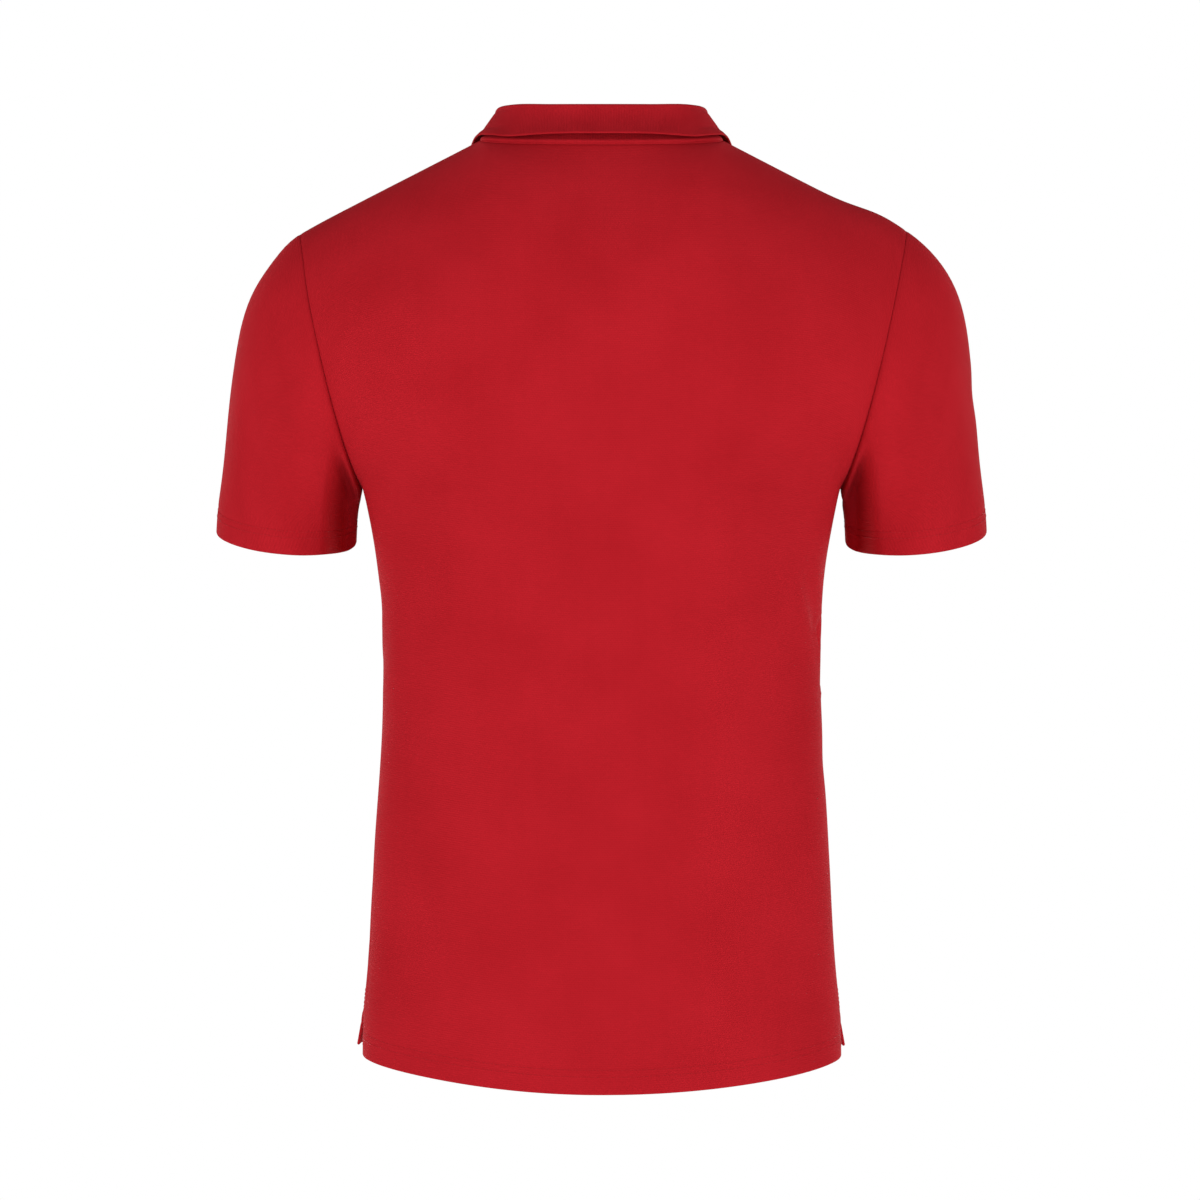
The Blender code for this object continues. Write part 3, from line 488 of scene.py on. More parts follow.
def tucked(grid, turn):
    """The left sleeve with its cloth beside the body tucked in towards the sleeve's own middle."""
    inside = eased(np.clip((np.abs(turn) - TUCK_TURNS[0]) / (TUCK_TURNS[1] - TUCK_TURNS[0]), 0, 1))
    depth = np.clip(np.sin(turn) / TUCK_SWING, -1, 1) * inside
    depth = depth * np.where(turn > 0, TUCK_DEPTH[BACK], TUCK_DEPTH[FRONT])
    from_seam = np.array([run_along(line) for line in grid.swapaxes(0, 1)]).T
    first, whole = TUCK_BELOW_SEAM
    begun = eased(np.clip((from_seam - first) / (whole - first), 0, 1))
    grid[..., 1] -= depth * begun * blend(1.0, TUCK_AT_CUFF, from_seam / from_seam[-1])
    return grid


def neck_ring(back, front):
    """The neck seam from the left front end round the back to the right, and how far round each point is."""
    middle_front = front.shape[1] // 2 - FINE               # the collar ends one solid's cell off the middle
    left_front = front[-1, SHOULDER_COLUMNS:middle_front + 1]
    left_back = back[-1, SHOULDER_COLUMNS:back.shape[1] // 2 + 1]
    front_run, back_run = run_along(left_front), run_along(left_back)
    front_share = NECK_SIDE_AROUND + (1 - NECK_SIDE_AROUND) * front_run / front_run[-1]
    back_share = NECK_SIDE_AROUND * (1 - back_run / back_run[-1])
    left = np.concatenate([left_front[:0:-1], left_back])
    share = np.concatenate([front_share[:0:-1], back_share])
    return np.concatenate([left, mirrored(left[-2::-1])]), np.concatenate([share, -share[-2::-1]])


def collar_line(name, around):
    """A line of the collar's table, at places from -1 (right front end) to 1 (left front end)."""
    whole = np.concatenate([COLLAR[:0:-1].copy(), COLLAR])
    whole["around"][:len(COLLAR) - 1] *= -1
    for axis in ("fold_x", "edge_x"):
        whole[axis][:len(COLLAR) - 1] *= -1
    return np.array([[read(whole, f"{name}_{axis}", place) for axis in "xyz"] for place in around])


def fold_frames(around):
    """Fold line of the collar with its outward and upward directions, square to the line."""
    step = 0.002
    fold = collar_line("fold", around)
    along = unit(collar_line("fold", around + step) - collar_line("fold", around - step))
    outward = unit(np.cross([0, 0, 1], along))
    return fold, outward, unit(np.cross(along, outward))


def stand(ring, around):
    """Outer points of the stand: rows from the neck seam up to just under the fold."""
    fold, outward, upward = fold_frames(around)
    top = fold + outward * (SOLID_WALL - FOLD_RADIUS) - upward * STAND_BELOW_FOLD
    reach = np.linalg.norm(top - ring, axis=1)[:, None]
    leave = unit(top - ring + [0, 0, STAND_RISE]) * reach
    shares = with_edge(finer(np.linspace(0, 1, STAND_CELLS + 1), FINE))
    grid = np.array([curve(ring, top, leave, upward * reach, s) for s in shares])
    _, _, from_seam, _ = distances(grid)
    first, last = SWELL_AROUND
    swell = smooth_step((last - np.abs(around)) / (last - first)) * smooth_step(from_seam / SWELL_ABOVE_SEAM)
    swell = swell * dip(np.maximum(from_seam - SWELL_ABOVE_SEAM, 0), SWELL_WIDTH) * STAND_SWELL
    return grid + outward * swell[..., None]


def leaf_fold(around):
    """Outer points of the leaf from its inner end up and over the fold."""
    fold, outward, upward = fold_frames(around)
    start = fold - outward * FOLD_RADIUS - upward * STAND_BELOW_FOLD
    turns = np.radians(FOLD_TURNS)
    over = [fold + (outward * np.cos(turn) + upward * np.sin(turn)) * FOLD_RADIUS for turn in turns]
    inside = [blend(start, over[0], share) for share in INNER_SHARES]
    return np.array([*inside, *over])


def leaf_hang(around):
    """Outer points of the leaf from the fold down to its free edge, as coarse as the solid's."""
    fold, outward, upward = fold_frames(around)
    start, edge = fold + outward * FOLD_RADIUS, collar_line("edge", around)
    reach = np.linalg.norm(edge - start, axis=1)[:, None]
    straight = dip(np.abs(around) - NECK_SIDE_AROUND, LEAF_STRAIGHT)[:, None]
    leave = unit(blend(outward * LEAF_SPRING - upward, unit(edge - start), straight)) * reach
    flare = unit(edge - start + outward * LEAF_FLARE * (1 - straight) * reach) * reach
    return np.array([curve(start, edge, leave, flare, s) for s in np.linspace(0, 1, LEAF_CELLS + 1)])


def leaned(points):
    """Points with the small uneven moves of the whole form."""
    moved = points.copy()
    for lean in LEANS:
        off_x = (points[..., 0] - lean["x"]) / lean["reach_x"]
        off_z = (points[..., 2] - lean["z"]) / lean["reach_z"]
        moved += np.exp(-off_x**2 - off_z**2)[..., None] * np.array([lean["move_x"], 0.0, lean["move_z"]])
    return moved


def relaxed(grid, weight):
    """A grid smoothed down its columns, as far as the weight says at each point."""
    for _ in range(RELAX_PASSES):
        middle = (grid[:-2] + grid[2:]) / 2
        grid[1:-1] += (middle - grid[1:-1]) * weight[1:-1, :, None] / 2
    return grid


def relaxed_panel(grid):
    """A panel smoothed across its underarm level and below the corner between shoulder and neck."""
    from_left, from_right, _, from_top = distances(grid)
    rows, columns = [np.arange(count) for count in grid.shape[:2]]
    inside = smooth_step(np.minimum(from_left, from_right) / RELAX_EDGE)
    grid = relaxed(grid, dip(rows[:, None] - len(LEVELS), RELAX_CELLS) * inside)
    corners = [SHOULDER_COLUMNS, len(columns) - 1 - SHOULDER_COLUMNS]
    near = sum(dip(columns - corner, RELAX_CELLS) for corner in corners)
    weight = near * smooth_step(from_top / RELAX_TOP) * (rows[:, None] > len(LEVELS))
    return relaxed(grid.swapaxes(0, 1).copy(), weight.T).swapaxes(0, 1)


# ======== Creases, pressed into the grids ================

CREASE_COLUMNS = ("across", "level", "to_across", "to_level", "bow", "width", "opening", "depth")
CREASE = [(name, float) for name in CREASE_COLUMNS]

# Across is the distance from the middle along the cloth, plus to the wearer's left. Opening is the share by
# which a crease is wider at its end. A ridge has a negative depth.
BACK_CREASES = np.array([
    # across, level, to across, to level, bow, width, opening, depth
    (-0.163, -0.318, -0.206, -0.385, 0.003, 0.012, 0.0, 0.0040),     # fold at the waist, wearer's right
    (-0.202, -0.358, -0.208, -0.414, 0.002, 0.0075, 0.0, 0.0055),    # the hollow below it
    (-0.208, -0.356, -0.181, -0.374, 0.001, 0.0034, 0.0, -0.0020),   # and the ridge that bends round it
    (-0.182, -0.368, -0.206, -0.420, -0.003, 0.0036, 0.2, -0.0024),
    (-0.150, -0.300, -0.205, -0.330, -0.006, 0.016, 0.2, 0.0010),
    (0.212, -0.550, 0.214, -0.655, 0.001, 0.0030, 0.0, -0.0010),     # the left side seam's turnings
    (0.226, -0.352, 0.158, -0.322, 0.006, 0.014, 0.3, 0.0012),       # and smaller ones at the left
    (0.240, -0.404, 0.176, -0.372, 0.005, 0.012, 0.4, 0.0014),
    (0.236, -0.440, 0.150, -0.452, -0.008, 0.015, 0.2, 0.0010),
    (-0.236, -0.470, -0.140, -0.492, 0.010, 0.016, 0.3, 0.0011),
    (0.205, -0.245, 0.120, -0.300, 0.010, 0.015, 0.6, 0.0014),       # drags below the armholes
    (0.200, -0.215, 0.105, -0.235, 0.008, 0.013, 0.5, 0.0010),
    (-0.205, -0.245, -0.125, -0.312, -0.010, 0.016, 0.6, 0.0015),
    (-0.200, -0.212, -0.110, -0.228, -0.008, 0.012, 0.5, 0.0009),
    (0.070, -0.060, 0.150, -0.130, 0.006, 0.020, 0.3, 0.0010),       # over the shoulder blades
    (-0.075, -0.056, -0.148, -0.140, -0.007, 0.018, 0.3, 0.0011),
    (0.020, -0.085, 0.045, -0.250, 0.010, 0.026, 0.4, 0.0009),
    (-0.035, -0.110, -0.055, -0.300, -0.008, 0.028, 0.3, 0.0010),
    (0.110, -0.480, 0.125, -0.700, 0.006, 0.026, 0.5, 0.0012),       # long soft falls down to the hem
    (0.030, -0.520, 0.024, -0.706, -0.004, 0.024, 0.4, 0.0009),
    (-0.070, -0.500, -0.086, -0.706, 0.007, 0.028, 0.4, 0.0012),
    (-0.165, -0.540, -0.178, -0.706, -0.004, 0.022, 0.4, 0.0011),
], dtype=CREASE)
FRONT_CREASES = np.array([
    (0.240, -0.352, 0.165, -0.318, 0.007, 0.014, 0.4, 0.0020),       # at the waist
    (0.250, -0.405, 0.170, -0.385, 0.006, 0.012, 0.4, 0.0017),
    (0.236, -0.455, 0.130, -0.430, -0.010, 0.017, 0.3, 0.0014),
    (-0.240, -0.340, -0.170, -0.312, -0.006, 0.013, 0.4, 0.0019),
    (-0.250, -0.390, -0.160, -0.372, -0.008, 0.014, 0.5, 0.0021),
    (-0.238, -0.448, -0.150, -0.470, 0.009, 0.015, 0.3, 0.0013),
    (0.192, -0.235, 0.110, -0.180, -0.008, 0.014, 0.6, 0.0022),      # drags from the armholes to the chest
    (0.200, -0.262, 0.120, -0.240, 0.006, 0.013, 0.6, 0.0016),
    (-0.190, -0.230, -0.115, -0.172, 0.008, 0.013, 0.6, 0.0020),
    (-0.200, -0.258, -0.110, -0.250, -0.007, 0.014, 0.6, 0.0018),
    (0.060, -0.200, 0.085, -0.400, 0.010, 0.026, 0.3, 0.0013),       # soft falls from the chest
    (-0.070, -0.210, -0.060, -0.420, -0.012, 0.028, 0.3, 0.0014),
    (0.015, -0.300, 0.022, -0.520, 0.006, 0.022, 0.4, 0.0010),
    (0.125, -0.470, 0.140, -0.694, 0.006, 0.024, 0.5, 0.0014),
    (0.045, -0.510, 0.050, -0.694, -0.006, 0.026, 0.4, 0.0011),
    (-0.060, -0.490, -0.072, -0.694, 0.008, 0.024, 0.4, 0.0012),
    (-0.160, -0.520, -0.150, -0.694, -0.005, 0.022, 0.5, 0.0013),
], dtype=CREASE)
# On a sleeve, across is the distance round from its outer line, plus to the back, and level is minus the
# distance down from its seam.
SLEEVE_CREASES = {
    LEFT: np.array([
        (0.150, -0.008, 0.075, -0.085, -0.006, 0.011, 0.7, 0.0018),
        (0.160, -0.004, 0.110, -0.062, -0.004, 0.009, 0.6, -0.0014),
        (0.135, -0.002, 0.050, -0.050, -0.006, 0.012, 0.6, 0.0014),
        (0.095, -0.006, 0.020, -0.075, 0.006, 0.014, 0.4, 0.0011),
        (-0.140, -0.006, -0.070, -0.070, 0.006, 0.011, 0.7, 0.0020),
        (-0.120, -0.004, -0.045, -0.055, 0.005, 0.012, 0.6, -0.0013),
        (-0.085, -0.010, -0.030, -0.130, 0.006, 0.015, 0.4, 0.0013),
        (0.012, -0.090, 0.018, -0.215, 0.004, 0.018, 0.4, 0.0010),
        (0.070, -0.100, 0.090, -0.200, -0.004, 0.014, 0.4, 0.0012),
    ], dtype=CREASE),
    RIGHT: np.array([
        (0.148, -0.010, 0.080, -0.092, -0.007, 0.012, 0.7, 0.0019),
        (0.155, -0.004, 0.100, -0.055, -0.005, 0.010, 0.6, -0.0012),
        (0.125, -0.004, 0.045, -0.058, -0.006, 0.011, 0.6, 0.0013),
        (0.020, -0.132, -0.060, -0.150, 0.004, 0.014, 0.2, 0.0020),      # dent at the outer side
        (-0.138, -0.008, -0.065, -0.078, 0.007, 0.012, 0.7, 0.0019),
        (-0.112, -0.004, -0.050, -0.048, 0.004, 0.011, 0.6, -0.0012),
        (-0.080, -0.014, -0.020, -0.120, 0.006, 0.014, 0.4, 0.0012),
        (0.040, -0.080, 0.030, -0.205, -0.004, 0.017, 0.4, 0.0011),
        (-0.050, -0.110, -0.065, -0.205, 0.004, 0.014, 0.4, 0.0012),
    ], dtype=CREASE),
}
CREASE_FLANK = (0.40, 2.3)         # a trough's banks rise to this share of it, over this many widths
CREASE_FADE = 0.55                 # how blunt a crease's ends are
SEAM_HOLD = 0.012                  # a crease dies out over this much towards a seam
VENT_HOLD = 0.020                  # and comes back over this much below a vent's top
PLACKET_HOLD = 0.030               # and dies out over this much towards the placket
RIPPLE = 0.0012                    # height of the cloth's long gentle waves
RIPPLE_LENGTHS = (0.230, 0.150, 0.097, 0.061)
RIPPLE_UPRIGHT = 0.45              # how much a wave changes up the cloth, for what it changes across it
BACK_SEED, FRONT_SEED = 3, 8
SLEEVE_SEEDS = {LEFT: 5, RIGHT: 11}
RELAX_CELLS, RELAX_PASSES = 12, 60 # the panels are smoothed over this many cells, this many times
RELAX_EDGE = 0.020                 # and less within this much of their sides
RELAX_TOP = 0.040                  # and of their top edge
PLACKET_END = -0.250               # below this level the front's creases run right across its middle


def grid_normals(grid, turned=1, closed=False):
    """Unit normals of a grid's points; turned is -1 where its columns run the other way round."""
    if closed:
        wrapped = np.concatenate([grid[:, -1:], grid, grid[:, :1]], axis=1)
        across = wrapped[:, 2:] - wrapped[:, :-2]
    else:
        across = np.gradient(grid, axis=1)
    return unit(np.cross(across, np.gradient(grid, axis=0))) * turned


def crease_depths(across, level, creases):
    """How deep the cloth lies below its smooth form at each point of a grid."""
    depth = np.zeros_like(across)
    for crease in creases:
        run = np.array([crease["to_across"] - crease["across"], crease["to_level"] - crease["level"]])
        length = np.hypot(*run)
        from_start = across - crease["across"], level - crease["level"]
        along = (from_start[0] * run[0] + from_start[1] * run[1]) / length**2
        inside = np.clip(along, 0, 1)
        off = (from_start[1] * run[0] - from_start[0] * run[1]) / length
        off -= 4 * crease["bow"] * inside * (1 - inside)
        q = off / (crease["width"] * (1 + crease["opening"] * inside))
        fade = np.sin(np.pi * inside) ** CREASE_FADE
        bank, reach = CREASE_FLANK
        depth += crease["depth"] * fade * (np.exp(-q**2) - bank * np.exp(-(q / reach) ** 2))
    return depth


def ripples(across, level, seed):
    """A gentle unevenness of hung cloth: long waves in uneven directions, two of each length."""
    random = np.random.default_rng(seed)
    total = np.zeros_like(across)
    for wavelength in np.repeat(RIPPLE_LENGTHS, 2):
        heading, phase = random.uniform(0, np.pi), random.uniform(0, 2 * np.pi)
        run = across * np.cos(heading) + level * np.sin(heading) * RIPPLE_UPRIGHT
        total += np.sin(2 * np.pi * run / wavelength + phase) * wavelength / RIPPLE_LENGTHS[0]
    return total * RIPPLE / len(RIPPLE_LENGTHS)


# ======== Cloth pieces ========

def distances(grid):
    """Distance of each point of an open grid from its first and last column and its first and last row."""
    steps = np.linalg.norm(np.diff(grid, axis=1), axis=2)
    across = np.concatenate([np.zeros((len(grid), 1)), np.cumsum(steps, axis=1)], axis=1)
    steps = np.linalg.norm(np.diff(grid, axis=0), axis=2)
    down = np.concatenate([np.zeros((1, grid.shape[1])), np.cumsum(steps, axis=0)])
    return across, across[:, -1:] - across, down, down[-1:] - down


def dip(distance, width=GROOVE_WIDTH):
    """1 at an edge or a line of stitches, and less with the distance from it."""
    return np.exp(-(distance / width) ** 2)


def seam_depth(points):
    """How deep a side or armhole seam lies, by its level."""
    upper, lower = GROOVE_LEVELS
    return blend(FAINT_GROOVE, GROOVE, smooth_step((upper - points[..., 2]) / (upper - lower)))


def layers(distance, height):
    """2 within a turned hem of a height, and 1 beyond it."""
    return 1 + smooth_step((height - distance) / HEM_STEP)


def free_edges(grid, *places):
    """Marks the points of a grid that lie on its free edges, whose rims are rounded."""
    marked = np.zeros(grid.shape[:2], dtype=bool)
    for place in places:
        marked[place] = True
    return marked


class Piece:
    """A cut piece of cloth: outer points, their quads, thickness, grooves and cloth coordinates."""

    def __init__(self, name, grid, rounded, turned=1, closed=False, keep=None, thick=KNIT, groove=0.0):
        grid = leaned(grid)
        rows, columns = grid.shape[:2]
        wrap = columns if closed else columns - 1
        row, column = [index.ravel() for index in np.indices((rows - 1, wrap))]
        if keep is not None:
            chosen = keep(row, column)
            row, column = row[chosen], column[chosen]
        after = (column + 1) % columns
        quads = np.stack([row * columns + column, row * columns + after,
                          (row + 1) * columns + after, (row + 1) * columns + column], axis=1)
        if turned < 0:
            quads = quads[:, [0, 3, 2, 1]]
        used, flat = np.unique(quads, return_inverse=True)
        self.name, self.grid, self.turned, self.closed = name, grid, turned, closed
        self.quads = flat.reshape(quads.shape)
        self.points = grid.reshape(-1, 3)[used]
        self.facing = grid_normals(grid, turned, closed).reshape(-1, 3)[used]
        self.thick = np.broadcast_to(thick, grid.shape[:2]).ravel()[used]
        self.groove_grid = np.broadcast_to(groove, grid.shape[:2])
        self.groove = self.groove_grid.ravel()[used]
        self.rounded = rounded.ravel()[used]
        self.cloth = cloth_coordinates(grid, closed).reshape(-1, 2)[used]
        self.depth = self.facing.copy()

    def keys(self):
        return [tuple(key) for key in np.round(self.points, 6)]


def cloth_coordinates(grid, closed):
    """Place of each point on the flat cloth: across from the middle column and up from the first row."""
    across, _, down, _ = distances(grid)
    if not closed:
        across = across - across[:, grid.shape[1] // 2][:, None]
    return np.stack([across, down], axis=-1)


def sew(pieces):
    """Gives the pieces one shared inward direction wherever their points meet at a seam."""
    meeting = {}
    for piece in pieces:
        for key, normal in zip(piece.keys(), piece.facing):
            meeting.setdefault(key, []).append(normal)
    for piece in pieces:
        piece.depth = np.array([mitre(meeting[key]) for key in piece.keys()])


def mitre(normals):
    """The vector that lies one unit above every plane with these normals, kept short at sharp corners."""
    if len(normals) == 1:
        return normals[0]
    total = np.sum(normals, axis=0)
    reach = total * len(normals) / max(total @ total, 1e-6)
    return reach * min(1.0, MITRE_LIMIT / np.linalg.norm(reach))


def open_edges(quads):
    """The directed edges that only one quad has, with that quad's number."""
    heads, tails = quads, np.roll(quads, -1, axis=1)
    size = int(quads.max()) + 1
    there, back = (heads * size + tails).ravel(), (tails * size + heads).ravel()
    alone = ~np.isin(there, back)
    number = np.repeat(np.arange(len(quads)), 4)
    return heads.ravel()[alone], tails.ravel()[alone], number[alone]


def edge_headings(piece, points):
    """For each point on the piece's open edges, the direction along the cloth that leads into it."""
    a, b, number = open_edges(piece.quads)
    corners = points[piece.quads[number]]
    face = unit(np.cross(corners[:, 2] - corners[:, 0], corners[:, 3] - corners[:, 1]))
    inward = unit(np.cross(face, points[b] - points[a]))
    met = {}
    for start, end, direction in zip(a, b, inward):
        met.setdefault(start, []).append(direction)
        met.setdefault(end, []).append(direction)
    headings = np.zeros_like(points)
    for point, directions in met.items():
        headings[point] = mitre(directions)
    return headings


def wall(piece, material):
    """Makes the piece's mesh: outer skin, inner skin, and a rim along each edge, rounded where it is free."""
    headings = edge_headings(piece, piece.points)
    lean = np.linalg.norm(np.cross(unit(headings), unit(piece.depth)), axis=1)[:, None]
    outer = piece.points + headings * SEAM_GAP / 2 / np.maximum(lean, SHARPEST_SEAM)
    outer = outer - piece.depth * piece.groove[:, None]
    inner = outer - piece.depth * piece.thick[:, None]
    a, b, _ = open_edges(piece.quads)
    rim_points = np.unique(np.concatenate([a, b]))
    place = np.full(len(outer), -1)
    place[rim_points] = np.arange(len(rim_points))
    middle = (outer + inner)[rim_points] / 2
    half = (outer - inner)[rim_points] / 2
    bulge = -unit(headings[rim_points]) * (piece.thick * piece.rounded)[rim_points, None] / 2
    rings = [middle + half * np.cos(turn) + bulge * np.sin(turn) for turn in np.radians(RIM_TURNS)]
    count, ring_count = len(outer), len(rim_points)
    rows = [np.arange(count), *[2 * count + k * ring_count + place for k in range(len(rings))],
            count + np.arange(count)]
    quads = [piece.quads, piece.quads[:, ::-1] + count]
    for upper, lower in zip(rows, rows[1:]):
        quads.append(np.stack([upper[b], upper[a], lower[a], lower[b]], axis=1))
    points = np.concatenate([outer, inner, *rings])
    cloth = np.concatenate([piece.cloth, piece.cloth, *[piece.cloth[rim_points]] * len(rings)])
    return mesh_object(piece.name, points, np.concatenate(quads), cloth, material)


def in_scene(name, data):
    """A new object of the scene, at the origin."""
    shape = bpy.data.objects.new(name, data)
    bpy.context.scene.collection.objects.link(shape)
    return shape


def mesh_object(name, points, quads, cloth, material):
    """A smooth mesh with its cloth coordinates as a UV map."""
    mesh = bpy.data.meshes.new(name)
    mesh.from_pydata(points.tolist(), [], quads.tolist())
    layer = mesh.uv_layers.new(name="cloth")
    corners = np.empty(len(mesh.loops), dtype=np.int32)
    mesh.loops.foreach_get("vertex_index", corners)
    layer.data.foreach_set("uv", cloth[corners].ravel())
    mesh.shade_smooth()
    mesh.materials.append(material)
    return in_scene(name, mesh)


def creased_panel(side):
    """The back's or front's grid with its creases."""
    grid = relaxed_panel(panel(side))
    from_left, from_right, _, from_top = distances(grid)
    across = from_left[:, grid.shape[1] // 2][:, None] - from_left
    sewn = np.minimum(np.minimum(from_left, from_right), from_top)
    open_vent = smooth_step((VENT_LEVEL - grid[..., 2]) / VENT_HOLD)
    fade = np.maximum(smooth_step(sewn / SEAM_HOLD), open_vent)
    creases, seed = (BACK_CREASES, BACK_SEED) if side == BACK else (FRONT_CREASES, FRONT_SEED)
    depth = crease_depths(across, grid[..., 2], creases) + ripples(across, grid[..., 2], seed)
    if side == FRONT:
        off_placket = (np.abs(across) - PLACKET_STEPS[0]) / PLACKET_HOLD
        fade = fade * smooth_step(off_placket + 2 * (grid[..., 2] < PLACKET_END))
    return grid - grid_normals(grid, side) * (depth * fade)[..., None]


def creased_sleeve(grid, side):
    """A sleeve's grid with its creases; its columns start at the inner line."""
    closed = np.concatenate([grid, grid[:, :1]], axis=1)
    round_run, _, from_seam, _ = distances(closed)
    outer_line = grid.shape[1] // 2
    across = round_run[:, outer_line][:, None] - round_run           # plus to the back
    across, from_seam = across[:, :-1], from_seam[:, :-1]
    depth = crease_depths(across, -from_seam, SLEEVE_CREASES[side])
    depth += ripples(across, -from_seam, SLEEVE_SEEDS[side])
    fade = smooth_step(from_seam / SEAM_HOLD)
    return grid - grid_normals(grid, side, closed=True) * (depth * fade)[..., None]


def smooth_between(grid, fine, first_slope):
    """A grid with each cell along its rows' axis split, on smooth curves through its rows."""
    slopes = np.gradient(grid, axis=0)
    slopes[0] = first_slope
    rows = [curve(grid[k], grid[k + 1], slopes[k], slopes[k + 1], step / fine)
            for k in range(len(grid) - 1) for step in range(fine)]
    return np.array([*rows, grid[-1]])


def sample(grid, row, column):
    """Point of a grid at fractions of its rows and columns."""
    rows, columns = np.array(grid.shape[:2]) - 2
    i, j = min(int(row), rows), min(int(column), columns)
    lower = blend(grid[i, j], grid[i, j + 1], column - j)
    return blend(lower, blend(grid[i + 1, j], grid[i + 1, j + 1], column - j), row - i)


def off_cloths(point, trees, lift):
    """The move that brings a point off the cloths that it lies under, or comes nearer to than the lift."""
    start = Vector(point)
    point = start.copy()
    for tree in trees:
        foot, normal, _, distance = tree.find_nearest(point)
        if (point - foot).dot(normal) < -UNDER_SHARE * distance and distance < UNDER_REACH:
            point = foot + normal * lift
        elif distance < lift:
            point = foot + (point - foot).normalized() * lift
    return np.array(point - start)


def lie_on(grid, trees, lift, passes, step):
    """A grid of points moved off pieces of cloth, until it clears them at its points and in between."""
    rows, columns = np.array(grid.shape[:2]) - 1
    for _ in range(passes):
        moves = np.zeros_like(grid)
        for row in np.arange(0, rows + 0.1, step):
            for column in np.arange(0, columns + 0.1, step):
                move = off_cloths(sample(grid, row, column), trees, lift)
                for i in {int(np.floor(row)), int(np.ceil(row))}:
                    for j in {int(np.floor(column)), int(np.ceil(column))}:
                        if move @ move > moves[i, j] @ moves[i, j]:
                            moves[i, j] = move
        grid = grid + moves
    return grid


# ======== Knit, thread and buttons ========

def add(tree, kind, links=(), **settings):
    """A node with settings, and links (input, output socket or value) into it."""
    node = tree.nodes.new(kind)
    for key, value in settings.items():
        setattr(node, key, value)
    for socket, source in links:
        if isinstance(source, bpy.types.NodeSocket):
            tree.links.new(source, node.inputs[socket])
        else:
            node.inputs[socket].default_value = source
    return node


def maths(tree, operation, *values):
    """The result of a Math node."""
    return add(tree, "ShaderNodeMath", list(enumerate(values)), operation=operation).outputs[0]


def noise(tree, place, scale, detail, distortion=0.0):
    """Noise of a scale on the given coordinates."""
    return add(tree, "ShaderNodeTexNoise", [("Vector", place), ("Scale", scale), ("Detail", detail),
                                            ("Distortion", distortion)]).outputs[0]


def knit_group(name):
    """A shader group for a knit, with the cloth's coordinates, also in wales and courses, and its yarn."""
    tree = bpy.data.node_groups.new(name, "ShaderNodeTree")
    for label in ("Wale", "Course", "Slub", "Fade"):
        tree.interface.new_socket(label, in_out="INPUT", socket_type="NodeSocketFloat")
    for label in ("Height", "Shade", "Roughness"):
        tree.interface.new_socket(label, in_out="OUTPUT", socket_type="NodeSocketFloat")
    given = tree.nodes.new("NodeGroupInput").outputs
    cloth = add(tree, "ShaderNodeUVMap", uv_map="cloth").outputs[0]
    axes = add(tree, "ShaderNodeSeparateXYZ", [(0, cloth)]).outputs
    across = maths(tree, "DIVIDE", axes[0], given["Wale"])
    along = maths(tree, "DIVIDE", axes[1], given["Course"])
    return tree, given, cloth, across, along, noise(tree, cloth, YARN_SCALE, 3.0)


def finish_knit(tree, given, yarn, relief, shade, roughness):
    """Brings the knit's relief with its yarn, its shade and its roughness out of its group."""
    out = tree.nodes.new("NodeGroupOutput").inputs
    height = maths(tree, "ADD", relief, maths(tree, "MULTIPLY", yarn, given["Slub"]))
    roughness = maths(tree, "ADD", roughness, maths(tree, "MULTIPLY", yarn, YARN_ROUGHNESS))
    for label, result in (("Height", height), ("Shade", shade), ("Roughness", roughness)):
        tree.links.new(result, out[label])
    return tree


def pique_knit():
    """Pique knit of the body: staggered cells between raised ribs, and the unevenness of its yarn; its colour
    is darkened in the cells' hollows as painted shade.
    """
    tree, given, cloth, across, along, yarn = knit_group("pique knit")
    row = maths(tree, "FLOOR", maths(tree, "MULTIPLY", along, 0.5))
    stagger = maths(tree, "MULTIPLY", maths(tree, "MODULO", row, 2.0), 0.5)
    turn_across = maths(tree, "MULTIPLY", maths(tree, "ADD", across, stagger), 2 * np.pi)
    wave_across = maths(tree, "ADD", maths(tree, "COSINE", turn_across), 1.0)
    wave_along = maths(tree, "SUBTRACT", 1.0, maths(tree, "COSINE", maths(tree, "MULTIPLY", along, np.pi)))
    cell = maths(tree, "MULTIPLY", maths(tree, "MULTIPLY", wave_across, wave_along), 0.25)
    loops = maths(tree, "COSINE", maths(tree, "MULTIPLY", along, 2 * np.pi))
    relief = maths(tree, "SUBTRACT", maths(tree, "MULTIPLY", loops, 0.12), cell)
    stretched = add(tree, "ShaderNodeMapping", [("Vector", cloth), ("Scale", (1.0, 0.12, 1.0))]).outputs[0]
    streak = maths(tree, "MULTIPLY", noise(tree, stretched, 160.0, 4.0), STREAK_SHARE)
    cloud = maths(tree, "MULTIPLY", noise(tree, cloth, 14.0, 2.0), 1 - STREAK_SHARE)
    # painted shade: the colour darkens in the knit's hollows, where the cell is deep
    painted_hollow_shade = maths(tree, "MULTIPLY", cell, given["Fade"])
    shade = maths(tree, "SUBTRACT", maths(tree, "ADD", streak, cloud), painted_hollow_shade)
    return finish_knit(tree, given, yarn, relief, shade, 0.80)


